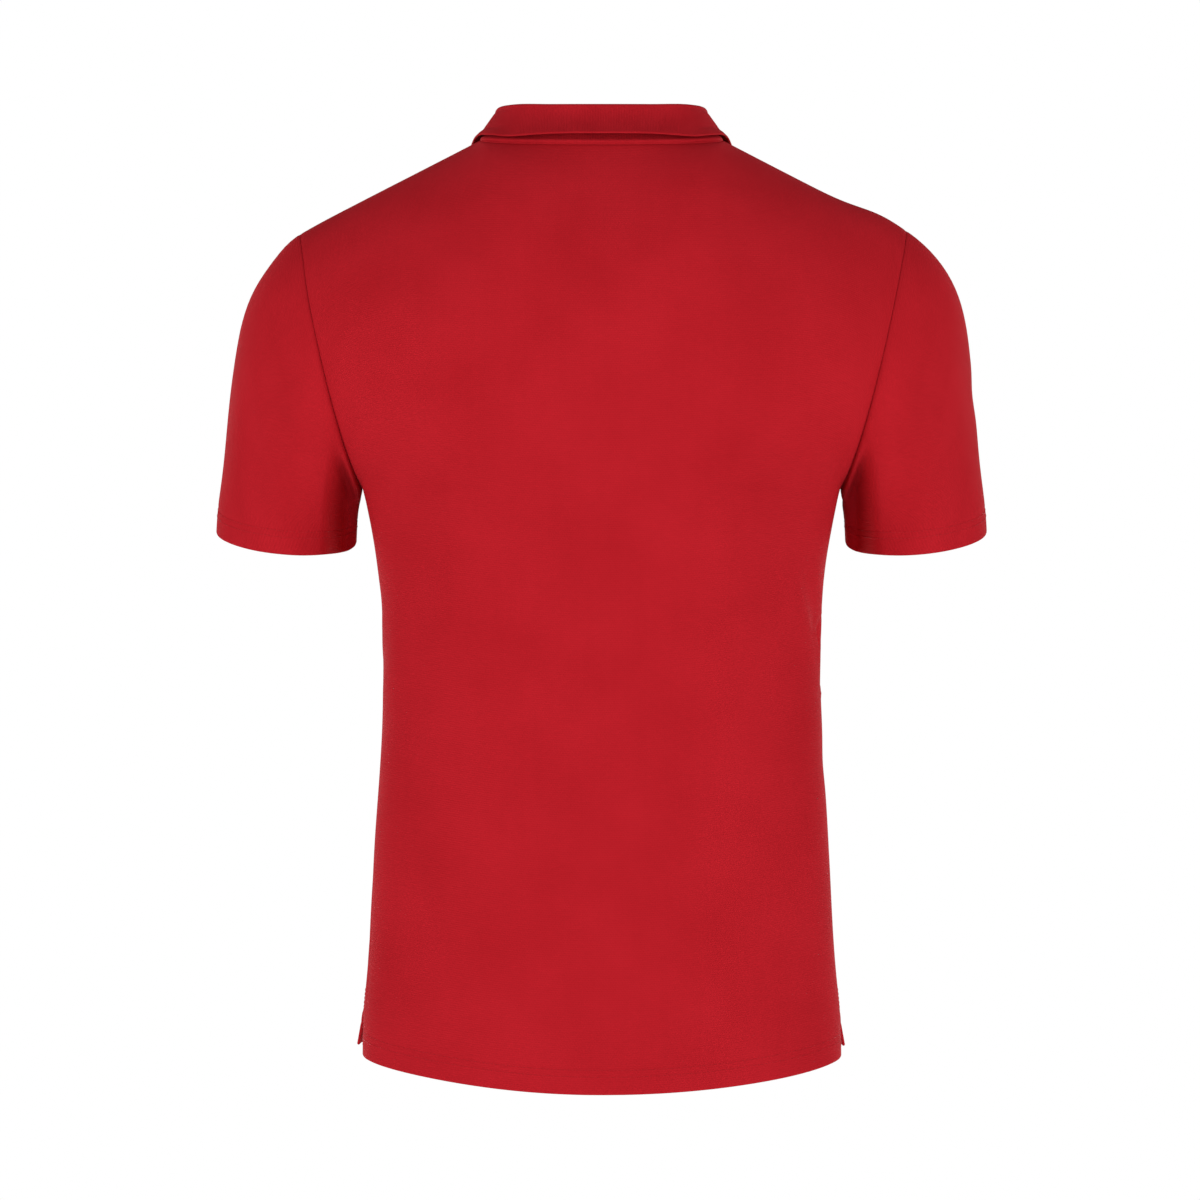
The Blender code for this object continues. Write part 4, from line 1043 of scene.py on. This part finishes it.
def rib_knit():
    """Fine rib knit of the collar: slanting loops up each wale, its colour darkened between the ribs as
    painted shade.
    """
    tree, given, cloth, across, along, yarn = knit_group("rib knit")
    rib = maths(tree, "ABSOLUTE", maths(tree, "COSINE", maths(tree, "MULTIPLY", across, np.pi)))
    tilt = maths(tree, "ABSOLUTE", maths(tree, "SINE", maths(tree, "MULTIPLY", across, 2 * np.pi)))
    loop = maths(tree, "COSINE", maths(tree, "MULTIPLY", maths(tree, "ADD", along, tilt), 2 * np.pi))
    relief = maths(tree, "ADD", rib, maths(tree, "MULTIPLY", loop, 0.2))
    # painted shade: the colour darkens in the hollows between the ribs
    gap = maths(tree, "MULTIPLY", maths(tree, "SUBTRACT", 1.0, rib), given["Fade"])
    shade = maths(tree, "SUBTRACT", noise(tree, cloth, 30.0, 3.0), gap)
    return finish_knit(tree, given, yarn, relief, shade, 0.78)


def new_material(name):
    """A material, its node tree and its shader."""
    material = bpy.data.materials.new(name)
    material.use_nodes = True
    return material, material.node_tree, material.node_tree.nodes["Principled BSDF"]


def colour_between(tree, shader, share, dark, light):
    """Gives the shader a colour that goes from dark to light with the share."""
    colour = add(tree, "ShaderNodeMix", data_type="RGBA", clamp_factor=True)
    colour.inputs[6].default_value, colour.inputs[7].default_value = dark, light
    tree.links.new(share, colour.inputs[0])
    tree.links.new(colour.outputs[2], shader.inputs["Base Color"])


def cloth_material(name, knit, sizes, relief):
    """A knit's material: its colour between dark and light by its uneven tone and the shade painted into its
    hollows, its bump and a soft sheen.
    """
    material, tree, shader = new_material(name)
    pattern = add(tree, "ShaderNodeGroup", sizes.items(), node_tree=knit).outputs
    spread_out = add(tree, "ShaderNodeMapRange", [("Value", pattern["Shade"]), ("From Min", SHADE_RANGE[0]),
                                                  ("From Max", SHADE_RANGE[1])])
    colour_between(tree, shader, spread_out.outputs[0], RED_DARK, RED)
    bump = add(tree, "ShaderNodeBump", [("Height", pattern["Height"]), ("Distance", relief)])
    tree.links.new(bump.outputs[0], shader.inputs["Normal"])
    tree.links.new(pattern["Roughness"], shader.inputs["Roughness"])
    shader.inputs["Metallic"].default_value = 0.0
    shader.inputs["Specular IOR Level"].default_value = 0.05
    shader.inputs["Sheen Weight"].default_value = 0.06
    shader.inputs["Sheen Roughness"].default_value = 0.45
    shader.inputs["Sheen Tint"].default_value = SHEEN_TINT
    return material


def thread_material():
    """Twisted sewing thread: fine uneven grooves on Object coordinates, its colour darkened in them as
    painted shade.
    """
    material, tree, shader = new_material("red thread")
    twist = noise(tree, add(tree, "ShaderNodeTexCoord").outputs["Object"], 2600.0, 2.0)
    # painted shade: the same noise that sets the grooves' height darkens the colour in them
    colour_between(tree, shader, twist, THREAD_DARK, THREAD_LIGHT)
    bump = add(tree, "ShaderNodeBump", [("Height", twist), ("Distance", 0.00008)])
    tree.links.new(bump.outputs[0], shader.inputs["Normal"])
    shader.inputs["Roughness"].default_value = 0.6
    shader.inputs["Specular IOR Level"].default_value = 0.12
    return material


def button_material():
    """Moulded plastic with a faint swirl and a satin gloss."""
    material, tree, shader = new_material("red button plastic")
    place = add(tree, "ShaderNodeTexCoord").outputs["Object"]
    colour_between(tree, shader, noise(tree, place, 240.0, 4.0, 1.2), BUTTON_DARK, BUTTON_LIGHT)
    scuff = noise(tree, place, 1400.0, 3.0)
    rough = add(tree, "ShaderNodeMapRange", [("Value", scuff), ("To Min", 0.24), ("To Max", 0.42)])
    tree.links.new(rough.outputs[0], shader.inputs["Roughness"])
    shader.inputs["Specular IOR Level"].default_value = 0.5
    shader.inputs["Coat Weight"].default_value = 0.15
    return material


# ======== Sewing: rows of stitches made by Geometry Nodes ========

def stitch_tree():
    """A node tree that sews stitches along a mesh's edges, upright on the vectors of its attribute out."""
    tree = bpy.data.node_groups.new("row of stitches", "GeometryNodeTree")
    tree.interface.new_socket("Geometry", in_out="INPUT", socket_type="NodeSocketGeometry")
    for label, value in STITCH_DEFAULTS.items():
        tree.interface.new_socket(label, in_out="INPUT", socket_type="NodeSocketFloat").default_value = value
    tree.interface.new_socket("Seed", in_out="INPUT", socket_type="NodeSocketInt").default_value = 1
    tree.interface.new_socket("Material", in_out="INPUT", socket_type="NodeSocketMaterial")
    tree.interface.new_socket("Geometry", in_out="OUTPUT", socket_type="NodeSocketGeometry")
    given, out = tree.nodes.new("NodeGroupInput").outputs, tree.nodes.new("NodeGroupOutput")

    path = add(tree, "GeometryNodeMeshToCurve", [("Mesh", given["Geometry"])])
    points = add(tree, "GeometryNodeCurveToPoints", [("Curve", path.outputs[0]), ("Length", given["Pitch"])],
                 mode="LENGTH")
    outward = add(tree, "GeometryNodeInputNamedAttribute", [("Name", "out")], data_type="FLOAT_VECTOR")
    along = add(tree, "FunctionNodeAlignRotationToVector", [("Vector", points.outputs["Tangent"])], axis="X")
    upright = add(tree, "FunctionNodeAlignRotationToVector",
                  [("Rotation", along.outputs[0]), ("Vector", outward.outputs["Attribute"])],
                  axis="Z", pivot_axis="X")
    yaw = add(tree, "FunctionNodeRandomValue", [("Seed", given["Seed"])], data_type="FLOAT")
    yaw_ends = [socket for socket in yaw.inputs if socket.enabled and socket.name in ("Min", "Max")]
    yaw_ends[0].default_value, yaw_ends[1].default_value = -1.0, 1.0
    yaw_value = [socket for socket in yaw.outputs if socket.enabled][0]
    angle = maths(tree, "ADD", given["Turn"], maths(tree, "MULTIPLY", yaw_value, given["Wander"]))
    spin = add(tree, "FunctionNodeAxisAngleToRotation", [("Axis", (0.0, 0.0, 1.0)), ("Angle", angle)])
    turned = add(tree, "FunctionNodeRotateRotation", [("Rotation", upright.outputs[0]),
                                                      ("Rotate By", spin.outputs[0])], rotation_space="LOCAL")
    thread = add(tree, "GeometryNodeMeshUVSphere", [("Segments", 8), ("Rings", 5), ("Radius", 0.5)])
    size = add(tree, "ShaderNodeCombineXYZ",
               [(axis, given[label]) for axis, label in enumerate(("Length", "Width", "Height"))])
    stitch = add(tree, "GeometryNodeTransform", [("Geometry", thread.outputs[0]), ("Scale", size.outputs[0])])
    sewn = add(tree, "GeometryNodeInstanceOnPoints", [("Points", points.outputs["Points"]),
                                                      ("Instance", stitch.outputs[0]),
                                                      ("Rotation", turned.outputs[0])])
    real = add(tree, "GeometryNodeRealizeInstances", [("Geometry", sewn.outputs[0])])
    smooth = add(tree, "GeometryNodeSetShadeSmooth", [("Geometry", real.outputs[0])])
    finished = add(tree, "GeometryNodeSetMaterial", [("Geometry", smooth.outputs[0]),
                                                     ("Material", given["Material"])])
    tree.links.new(finished.outputs[0], out.inputs["Geometry"])
    return tree


def sewing(name, lines, tree, material, seed, **sizes):
    """One mesh of stitches along lines, each a pair of points and outward vectors."""
    points = np.concatenate([line for line, _ in lines])
    outward = np.concatenate([vectors for _, vectors in lines])
    starts = np.cumsum([0] + [len(line) for line, _ in lines])
    edges = [(k, k + 1) for first, last in zip(starts, starts[1:]) for k in range(first, last - 1)]
    mesh = bpy.data.meshes.new(name + " path")
    mesh.from_pydata(points.tolist(), edges, [])
    mesh.attributes.new("out", "FLOAT_VECTOR", "POINT").data.foreach_set("vector", outward.ravel())
    path = in_scene(name + " path", mesh)
    modifier = path.modifiers.new("sewing", "NODES")
    modifier.node_group = tree
    values = {**STITCH_DEFAULTS, **sizes, "Seed": seed, "Material": material}
    for item in tree.interface.items_tree:
        if item.item_type == "SOCKET" and item.in_out == "INPUT" and item.name in values:
            modifier[item.identifier] = values[item.name]
    made = bpy.data.meshes.new_from_object(path.evaluated_get(bpy.context.evaluated_depsgraph_get()))
    made.name = name
    bpy.data.objects.remove(path, do_unlink=True)
    if not made.materials:
        made.materials.append(material)
    return in_scene(name, made)


def inset(grid, normals, distance, axis, last=False, keep=slice(None)):
    """A line on a grid at a distance from its first (or last) row (axis 0) or column (axis 1)."""
    points, vectors = (grid, normals) if axis == 0 else (grid.swapaxes(0, 1), normals.swapaxes(0, 1))
    if last:
        points, vectors = points[::-1], vectors[::-1]
    line, outward = [], []
    for column in range(points.shape[1]):
        run = run_along(points[:, column])
        line.append(at_distance(distance, run, points[:, column]))
        outward.append(at_distance(distance, run, vectors[:, column]))
    line, outward = np.array(line)[keep], unit(outward)[keep]
    return line + outward * STITCH_LIFT, outward


# ======== Buttons ========

def turned_button(material):
    """A button round its own axis, with a rolled rim, a dished face and four thread holes."""
    mesh = bpy.data.meshes.new("button blank")
    outline = [(share * BUTTON_RADIUS, 0.0, level * BUTTON_THICKNESS) for share, level in BUTTON_PROFILE]
    mesh.from_pydata(outline, [(k, k + 1) for k in range(len(outline) - 1)], [])
    mesh.materials.append(material)
    blank = in_scene("button blank", mesh)
    turned = blank.modifiers.new("turned", "SCREW")
    turned.steps = turned.render_steps = BUTTON_SIDES
    turned.use_merge_vertices = True
    turned.merge_threshold = 0.00002
    cutters = []
    for x, y in HOLE_PLACES:
        bpy.ops.mesh.primitive_cylinder_add(vertices=HOLE_SIDES, radius=HOLE_RADIUS,
                                            depth=4 * BUTTON_THICKNESS, location=(x, y, 0))
        cutters.append(bpy.context.object)
        hole = blank.modifiers.new("hole", "BOOLEAN")
        hole.operation = "DIFFERENCE"
        hole.object = cutters[-1]
    made = bpy.data.meshes.new_from_object(blank.evaluated_get(bpy.context.evaluated_depsgraph_get()))
    for old in [blank, *cutters]:
        bpy.data.objects.remove(old, do_unlink=True)
    made.shade_smooth()
    made.set_sharp_from_angle(angle=np.radians(35))
    return made


def place_button(name, blank, seat, normal, up):
    """The button as a piece of its own, in place on the placket."""
    mesh = blank.copy()
    mesh.name = name
    across = unit(np.cross(up, normal))
    upright = np.cross(normal, across)
    turn = np.stack([across, upright, normal], axis=1)
    spots = np.array([vertex.co for vertex in mesh.vertices]) @ turn.T + seat + normal * BUTTON_LIFT
    mesh.vertices.foreach_set("co", spots.ravel())
    threads = []
    face = seat + normal * (BUTTON_LIFT + BUTTON_PROFILE[0][1] * BUTTON_THICKNESS)
    for x in sorted({place[0] for place in HOLE_PLACES}):
        ends = [face + across * x + upright * y * HOLE_SPAN for y in (-1, 1)]
        threads.append((np.array(ends), np.array([normal, normal])))
    return in_scene(name, mesh), threads


# ======== The shirt ========

def make_materials():
    """The shirt's four materials."""
    return {
        "knit": cloth_material("red pique knit", pique_knit(), PIQUE, PIQUE_RELIEF),
        "collar": cloth_material("red collar knit", rib_knit(), RIB, RIB_RELIEF),
        "thread": thread_material(),
        "button": button_material(),
    }


def panel_piece(name, side, grid, keep=None):
    """A panel with grooves along its seams, a turned hem and narrow turned vents."""
    from_left, from_right, from_hem, from_top = distances(grid)
    from_side = np.minimum(from_left, from_right)
    rows = np.arange(len(grid))[:, None]
    below_vent = smooth_step((VENT_ROWS - 1 - rows) / VENT_FADE_ROWS)
    groove = np.maximum(seam_depth(grid) * dip(from_side) * (1 - below_vent), FAINT_GROOVE * dip(from_top))
    groove += HEM_DIP * dip(from_hem - HEM_HEIGHT, HEM_DIP_WIDTH)
    groove += HEM_DIP * dip(from_side - VENT_HEM, HEM_DIP_WIDTH) * below_vent
    beside_vent = 1 + (layers(from_side, VENT_HEM) - 1) * below_vent
    thick = KNIT * np.maximum(layers(from_hem, HEM_HEIGHT), beside_vent)
    rounded = free_edges(grid, 0, (slice(VENT_ROWS - 1), [0, -1]))
    return Piece(name, grid, rounded, side, keep=keep, thick=thick, groove=groove)


def sleeve_piece(name, side, grid):
    """A sleeve with a groove along its seam and a turned cuff."""
    _, _, from_seam, from_cuff = distances(grid)
    groove = seam_depth(grid[0]) * dip(from_seam) + HEM_DIP * dip(from_cuff - HEM_HEIGHT, HEM_DIP_WIDTH)
    thick = KNIT * layers(from_cuff, HEM_HEIGHT)
    return Piece(name, grid, free_edges(grid, -1), side, closed=True, thick=thick, groove=groove)


def placket_grid(front):
    """Outer points of the placket's upper strip, over the slit: the front's points moved out."""
    normals = grid_normals(front, FRONT)
    past = PLACKET_OVERLAP * FINE
    rows = np.concatenate([[PLACKET_FOOT - past], np.arange(PLACKET_FOOT, TOP_ROW - 1), [TOP_ROW - past]])
    columns = np.arange(-PLACKET_HALF, PLACKET_HALF + 1)
    columns = np.concatenate([[columns[0] - past], columns, [columns[-1] + past]]) + front.shape[1] // 2
    lift = SOLID_WALL + SEAM_GAP
    return np.array([[sample(front, row, column) + unit(sample(normals, row, column)) * lift
                      for column in columns] for row in rows])


def collar_leaf_piece(ring_places, cloths):
    """The turned-down collar: over the fold and down, lying on the cloth round the neck."""
    trees = [BVHTree.FromPolygons(points.tolist(), quads.tolist()) for points, quads in cloths]
    lift = COLLAR_KNIT + LEAF_REST
    coarse = leaf_hang(ring_places[::FINE])
    coarse[1:] = lie_on(coarse[1:], trees, lift, LIE_PASSES, LIE_STEP)
    wide = smooth_between(coarse.swapaxes(0, 1), FINE, coarse[:, 1] - coarse[:, 0]).swapaxes(0, 1)
    fold, outward, upward = fold_frames(ring_places)
    wide[0] = fold + outward * FOLD_RADIUS
    first = np.linalg.norm(wide[1] - wide[0], axis=1)[:, None]
    hang = smooth_between(wide, FINE, unit(outward * LEAF_SPRING - upward) * first)
    hang[2:] = lie_on(hang[2:], trees, lift, 1, 1.0)
    grid = np.concatenate([leaf_fold(ring_places), hang[1:]])
    rounded = free_edges(grid, -1, (slice(2, None), [0, -1]))
    return Piece("collar_leaf_cloth", grid, rounded, -1, thick=COLLAR_KNIT)


def placket_piece(front_grid):
    """The placket's upper strip, with its free edges rounded and drawn in along its stitches."""
    grid = placket_grid(front_grid)
    from_left, from_right, from_foot, _ = distances(grid)
    from_edge = np.minimum(np.minimum(from_left, from_right), from_foot)
    groove = HEM_DIP * dip(from_edge - STRIP_STITCH, HEM_DIP_WIDTH)
    rounded = free_edges(grid, slice(None))
    return Piece("placket_upper_cloth", grid, rounded, FRONT, thick=STRIP_THICK, groove=groove)


def stand_piece(grid):
    """The stand, with a faint groove along the neck seam."""
    _, _, from_neck, _ = distances(grid)
    groove = FAINT_GROOVE * dip(from_neck)
    return Piece("collar_stand_cloth", grid, free_edges(grid), thick=COLLAR_KNIT, groove=groove)


def surface_of(piece):
    """The piece's outer grid with its grooves, and its normals."""
    normals = grid_normals(piece.grid, piece.turned, piece.closed)
    return piece.grid - normals * piece.groove_grid[..., None], normals


def hem_lines(panel_surface):
    """The twin rows along a panel's hem, and the rows up its vents."""
    grid, normals = panel_surface
    columns = slice(VENT_STITCH_COLUMNS, -VENT_STITCH_COLUMNS)
    lines = [inset(grid, normals, HEM_HEIGHT - row, 0, keep=columns) for row in TWIN_ROWS]
    low, low_normals = grid[:VENT_ROWS + 2], normals[:VENT_ROWS + 2]
    for last in (False, True):
        lines.append(inset(low, low_normals, VENT_HEM - VENT_STITCH, 1, last=last, keep=slice(4, None)))
    return lines


def cuff_lines(sleeve_surface):
    """The twin rows round a cuff."""
    grid, normals = [np.concatenate([values, values[:, :1]], axis=1) for values in sleeve_surface]
    return [inset(grid, normals, HEM_HEIGHT - row, 0, last=True) for row in TWIN_ROWS]


def strip_lines(strip_surface):
    """The row round the placket's strip and the second row above its foot."""
    grid, normals = strip_surface
    sides = [inset(grid, normals, STRIP_STITCH, 1, last=last, keep=slice(2, -1)) for last in (False, True)]
    feet = [inset(grid, normals, STRIP_STITCH + rise, 0, keep=slice(3, -3)) for rise in (0.0, STRIP_BOX)]
    return sides + feet


def buttonhole_line(seat, normal, up):
    """The path round a buttonhole, upright on the placket."""
    across = unit(np.cross(up, normal))
    upright = np.cross(normal, across)
    turns = np.linspace(0, 2 * np.pi, BUTTONHOLE_POINTS)
    half_long, half_wide = BUTTONHOLE
    bar = np.clip(np.sin(turns) * BUTTONHOLE_BAR, -1, 1)
    path = seat + np.outer(bar * half_long, upright) + np.outer(np.cos(turns) * half_wide, across)
    return path + normal * STITCH_LIFT, np.tile(normal, (len(turns), 1))


def declare(shape, node, slot, flat=None, area=None, rests_on=()):
    """Hides the solid that a piece replaces, if any, and makes the piece ride on the shirt's root; its slot
    and its cut are not used.
    """
    if node:
        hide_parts(node)
    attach(shape, "root")


def make_cloth(materials):
    """Makes the cloth pieces, sewn to each other, and returns the surface of each."""
    back_grid, front_grid = creased_panel(BACK), creased_panel(FRONT)
    left_sleeve = sleeve(back_grid, front_grid)
    right_sleeve = mirrored(left_sleeve)
    ring, around = neck_ring(back_grid, front_grid)
    middle = front_grid.shape[1] // 2

    def in_slit(row, column):
        return (row >= PLACKET_FOOT) & (np.abs(column + 0.5 - middle) < PLACKET_HALF)

    def outside_slit(row, column):
        return ~in_slit(row, column)

    pieces = {
        "back": panel_piece("back_cloth", BACK, back_grid),
        "front": panel_piece("front_cloth", FRONT, front_grid, keep=outside_slit),
        "placket_under": panel_piece("placket_under_cloth", FRONT, front_grid, keep=in_slit),
        "sleeve_left": sleeve_piece("sleeve_left_cloth", LEFT, creased_sleeve(left_sleeve, LEFT)),
        "sleeve_right": sleeve_piece("sleeve_right_cloth", RIGHT, creased_sleeve(right_sleeve, RIGHT)),
        "collar_stand": stand_piece(stand(ring, around)),
    }
    sew(pieces.values())
    pieces["placket_upper"] = placket_piece(front_grid)
    under_leaf = [pieces[node] for node in ("back", "front", "placket_upper", "collar_stand")]
    pieces["collar_leaf"] = collar_leaf_piece(around, [(piece.points, piece.quads) for piece in under_leaf])
    _, outward, _ = fold_frames(around)
    pieces["collar_stand"].depth[-len(around):] = outward          # squared off under the fold
    pieces["collar_leaf"].depth[:len(around)] = -outward

    for node, piece in pieces.items():
        material = materials["collar" if node.startswith("collar") else "knit"]
        declare(wall(piece, material), node, "red_knit", *CUTS[node])
    return {node: surface_of(piece) for node, piece in pieces.items()}


def make_hem_stitches(surfaces, tree, thread):
    """Sews the hems, the cuffs and the placket's strip."""
    rows = {
        "hem_stitches_back": hem_lines(surfaces["back"]),
        "hem_stitches_front": hem_lines(surfaces["front"]),
        "cuff_stitches_left": cuff_lines(surfaces["sleeve_left"]),
        "cuff_stitches_right": cuff_lines(surfaces["sleeve_right"]),
        "placket_stitches": strip_lines(surfaces["placket_upper"]),
    }
    for seed, (name, lines) in enumerate(rows.items(), start=1):
        declare(sewing(name, lines, tree, thread, seed), None, "red_knit")


def make_buttons(strip_surface, tree, materials):
    """Makes the buttons down the placket, their threads and the buttonholes."""
    strip, strip_normals = strip_surface
    column = strip.shape[1] // 2
    down, down_normals = strip[::-1, column], strip_normals[::-1, column]
    run = run_along(down)
    blank = turned_button(materials["button"])
    holes, threads = [], []
    for number, distance in enumerate(BUTTON_DROPS, start=1):
        seat = at_distance(distance, run, down)
        normal = unit(at_distance(distance, run, down_normals))
        up = unit(at_distance(distance - BUTTON_UPRIGHT, run, down) - seat)
        shape, crossing = place_button(f"button_{number}_turned", blank, seat, normal, up)
        declare(shape, f"button_{number}", "red_button")
        threads += crossing
        holes.append(buttonhole_line(seat, normal, up))
    bpy.data.meshes.remove(blank)
    thread = materials["thread"]
    declare(sewing("buttonhole_stitches", holes, tree, thread, 7, **BUTTONHOLE_STITCH), None, "red_knit")
    declare(sewing("button_threads", threads, tree, thread, 8, **BUTTON_THREAD), None, "red_knit")


def make_shirt(materials):
    """Makes the cloth, its sewing and the buttons."""
    surfaces = make_cloth(materials)
    tree = stitch_tree()
    make_hem_stitches(surfaces, tree, materials["thread"])
    make_buttons(surfaces["placket_upper"], tree, materials)


# ======== Studio ========

def make_floor():
    """A plain pale floor where a wearer would stand."""
    bpy.ops.mesh.primitive_circle_add(vertices=FLOOR_SIDES, radius=FLOOR_RADIUS, fill_type="NGON",
                                      location=(0, 0, FLOOR_LEVEL))
    floor = bpy.context.object
    floor.name = "floor"
    plain, _, shader = new_material("pale floor")
    shader.inputs["Base Color"].default_value = FLOOR_COLOUR
    shader.inputs["Roughness"].default_value = 0.9
    floor.data.materials.append(plain)


def make_sky():
    """A little even light all round, and white to the camera."""
    world = bpy.data.worlds.new("studio")
    bpy.context.scene.world = world
    world.use_nodes = True
    tree = world.node_tree
    tree.nodes.clear()
    heading = add(tree, "ShaderNodeSeparateXYZ", [(0, add(tree, "ShaderNodeTexCoord").outputs["Generated"])])
    height = maths(tree, "MULTIPLY_ADD", heading.outputs[2], 0.5, 0.5)
    ramp = add(tree, "ShaderNodeFloatCurve", [("Value", height)])
    points = ramp.mapping.curves[0].points
    points[0].location, points[1].location = (0.0, SKY[0]), (1.0, SKY[2])
    points.new(0.5, SKY[1])
    ramp.mapping.update()
    white = (1.0, 1.0, 1.0, 1.0)
    soft = add(tree, "ShaderNodeBackground", [("Color", white), ("Strength", ramp.outputs[0])])
    plain = add(tree, "ShaderNodeBackground", [("Color", white), ("Strength", 1.0)])
    seen = add(tree, "ShaderNodeLightPath").outputs["Is Camera Ray"]
    both = add(tree, "ShaderNodeMixShader", [(0, seen), (1, soft.outputs[0]), (2, plain.outputs[0])])
    add(tree, "ShaderNodeOutputWorld", [("Surface", both.outputs[0])])


def make_softboxes():
    """Four softboxes, two to the back and two to the front."""
    for number, (side, hand) in enumerate([(BACK, LEFT), (BACK, RIGHT), (FRONT, LEFT), (FRONT, RIGHT)], 1):
        light = bpy.data.lights.new(f"softbox_{number}", "AREA")
        light.shape = "SQUARE"
        light.size = SOFTBOX
        light.energy = SOFTBOX_POWER[side]
        lamp = in_scene(light.name, light)
        aside = hand * SOFTBOX_DISTANCE * np.sin(SOFTBOX_TURN[side])
        away = side * SOFTBOX_DISTANCE * np.cos(SOFTBOX_TURN[side])
        lamp.location = (aside, away, SOFTBOX_LEVEL)
        lamp.rotation_euler = (Vector(AIM) - lamp.location).to_track_quat("-Z", "Y").to_euler()


def make_studio():
    """The floor, the light and how its brightness is shown."""
    make_floor()
    make_sky()
    make_softboxes()
    bpy.context.scene.view_settings.view_transform = "Standard"


def make_camera():
    """Level, square to the back, with the photo's framing."""
    camera = in_scene("camera", bpy.data.cameras.new("camera"))
    camera.data.sensor_width = SENSOR
    camera.data.lens = SENSOR * CAMERA_DISTANCE / FRAME_WIDTH
    camera.data.clip_end = CAMERA_REACH
    camera.location = (CAMERA_X, CAMERA_DISTANCE, CAMERA_LEVEL)
    camera.rotation_euler = (np.pi / 2, 0, np.pi)
    bpy.context.scene.camera = camera


make_camera()
make_studio()
make_shirt(make_materials())
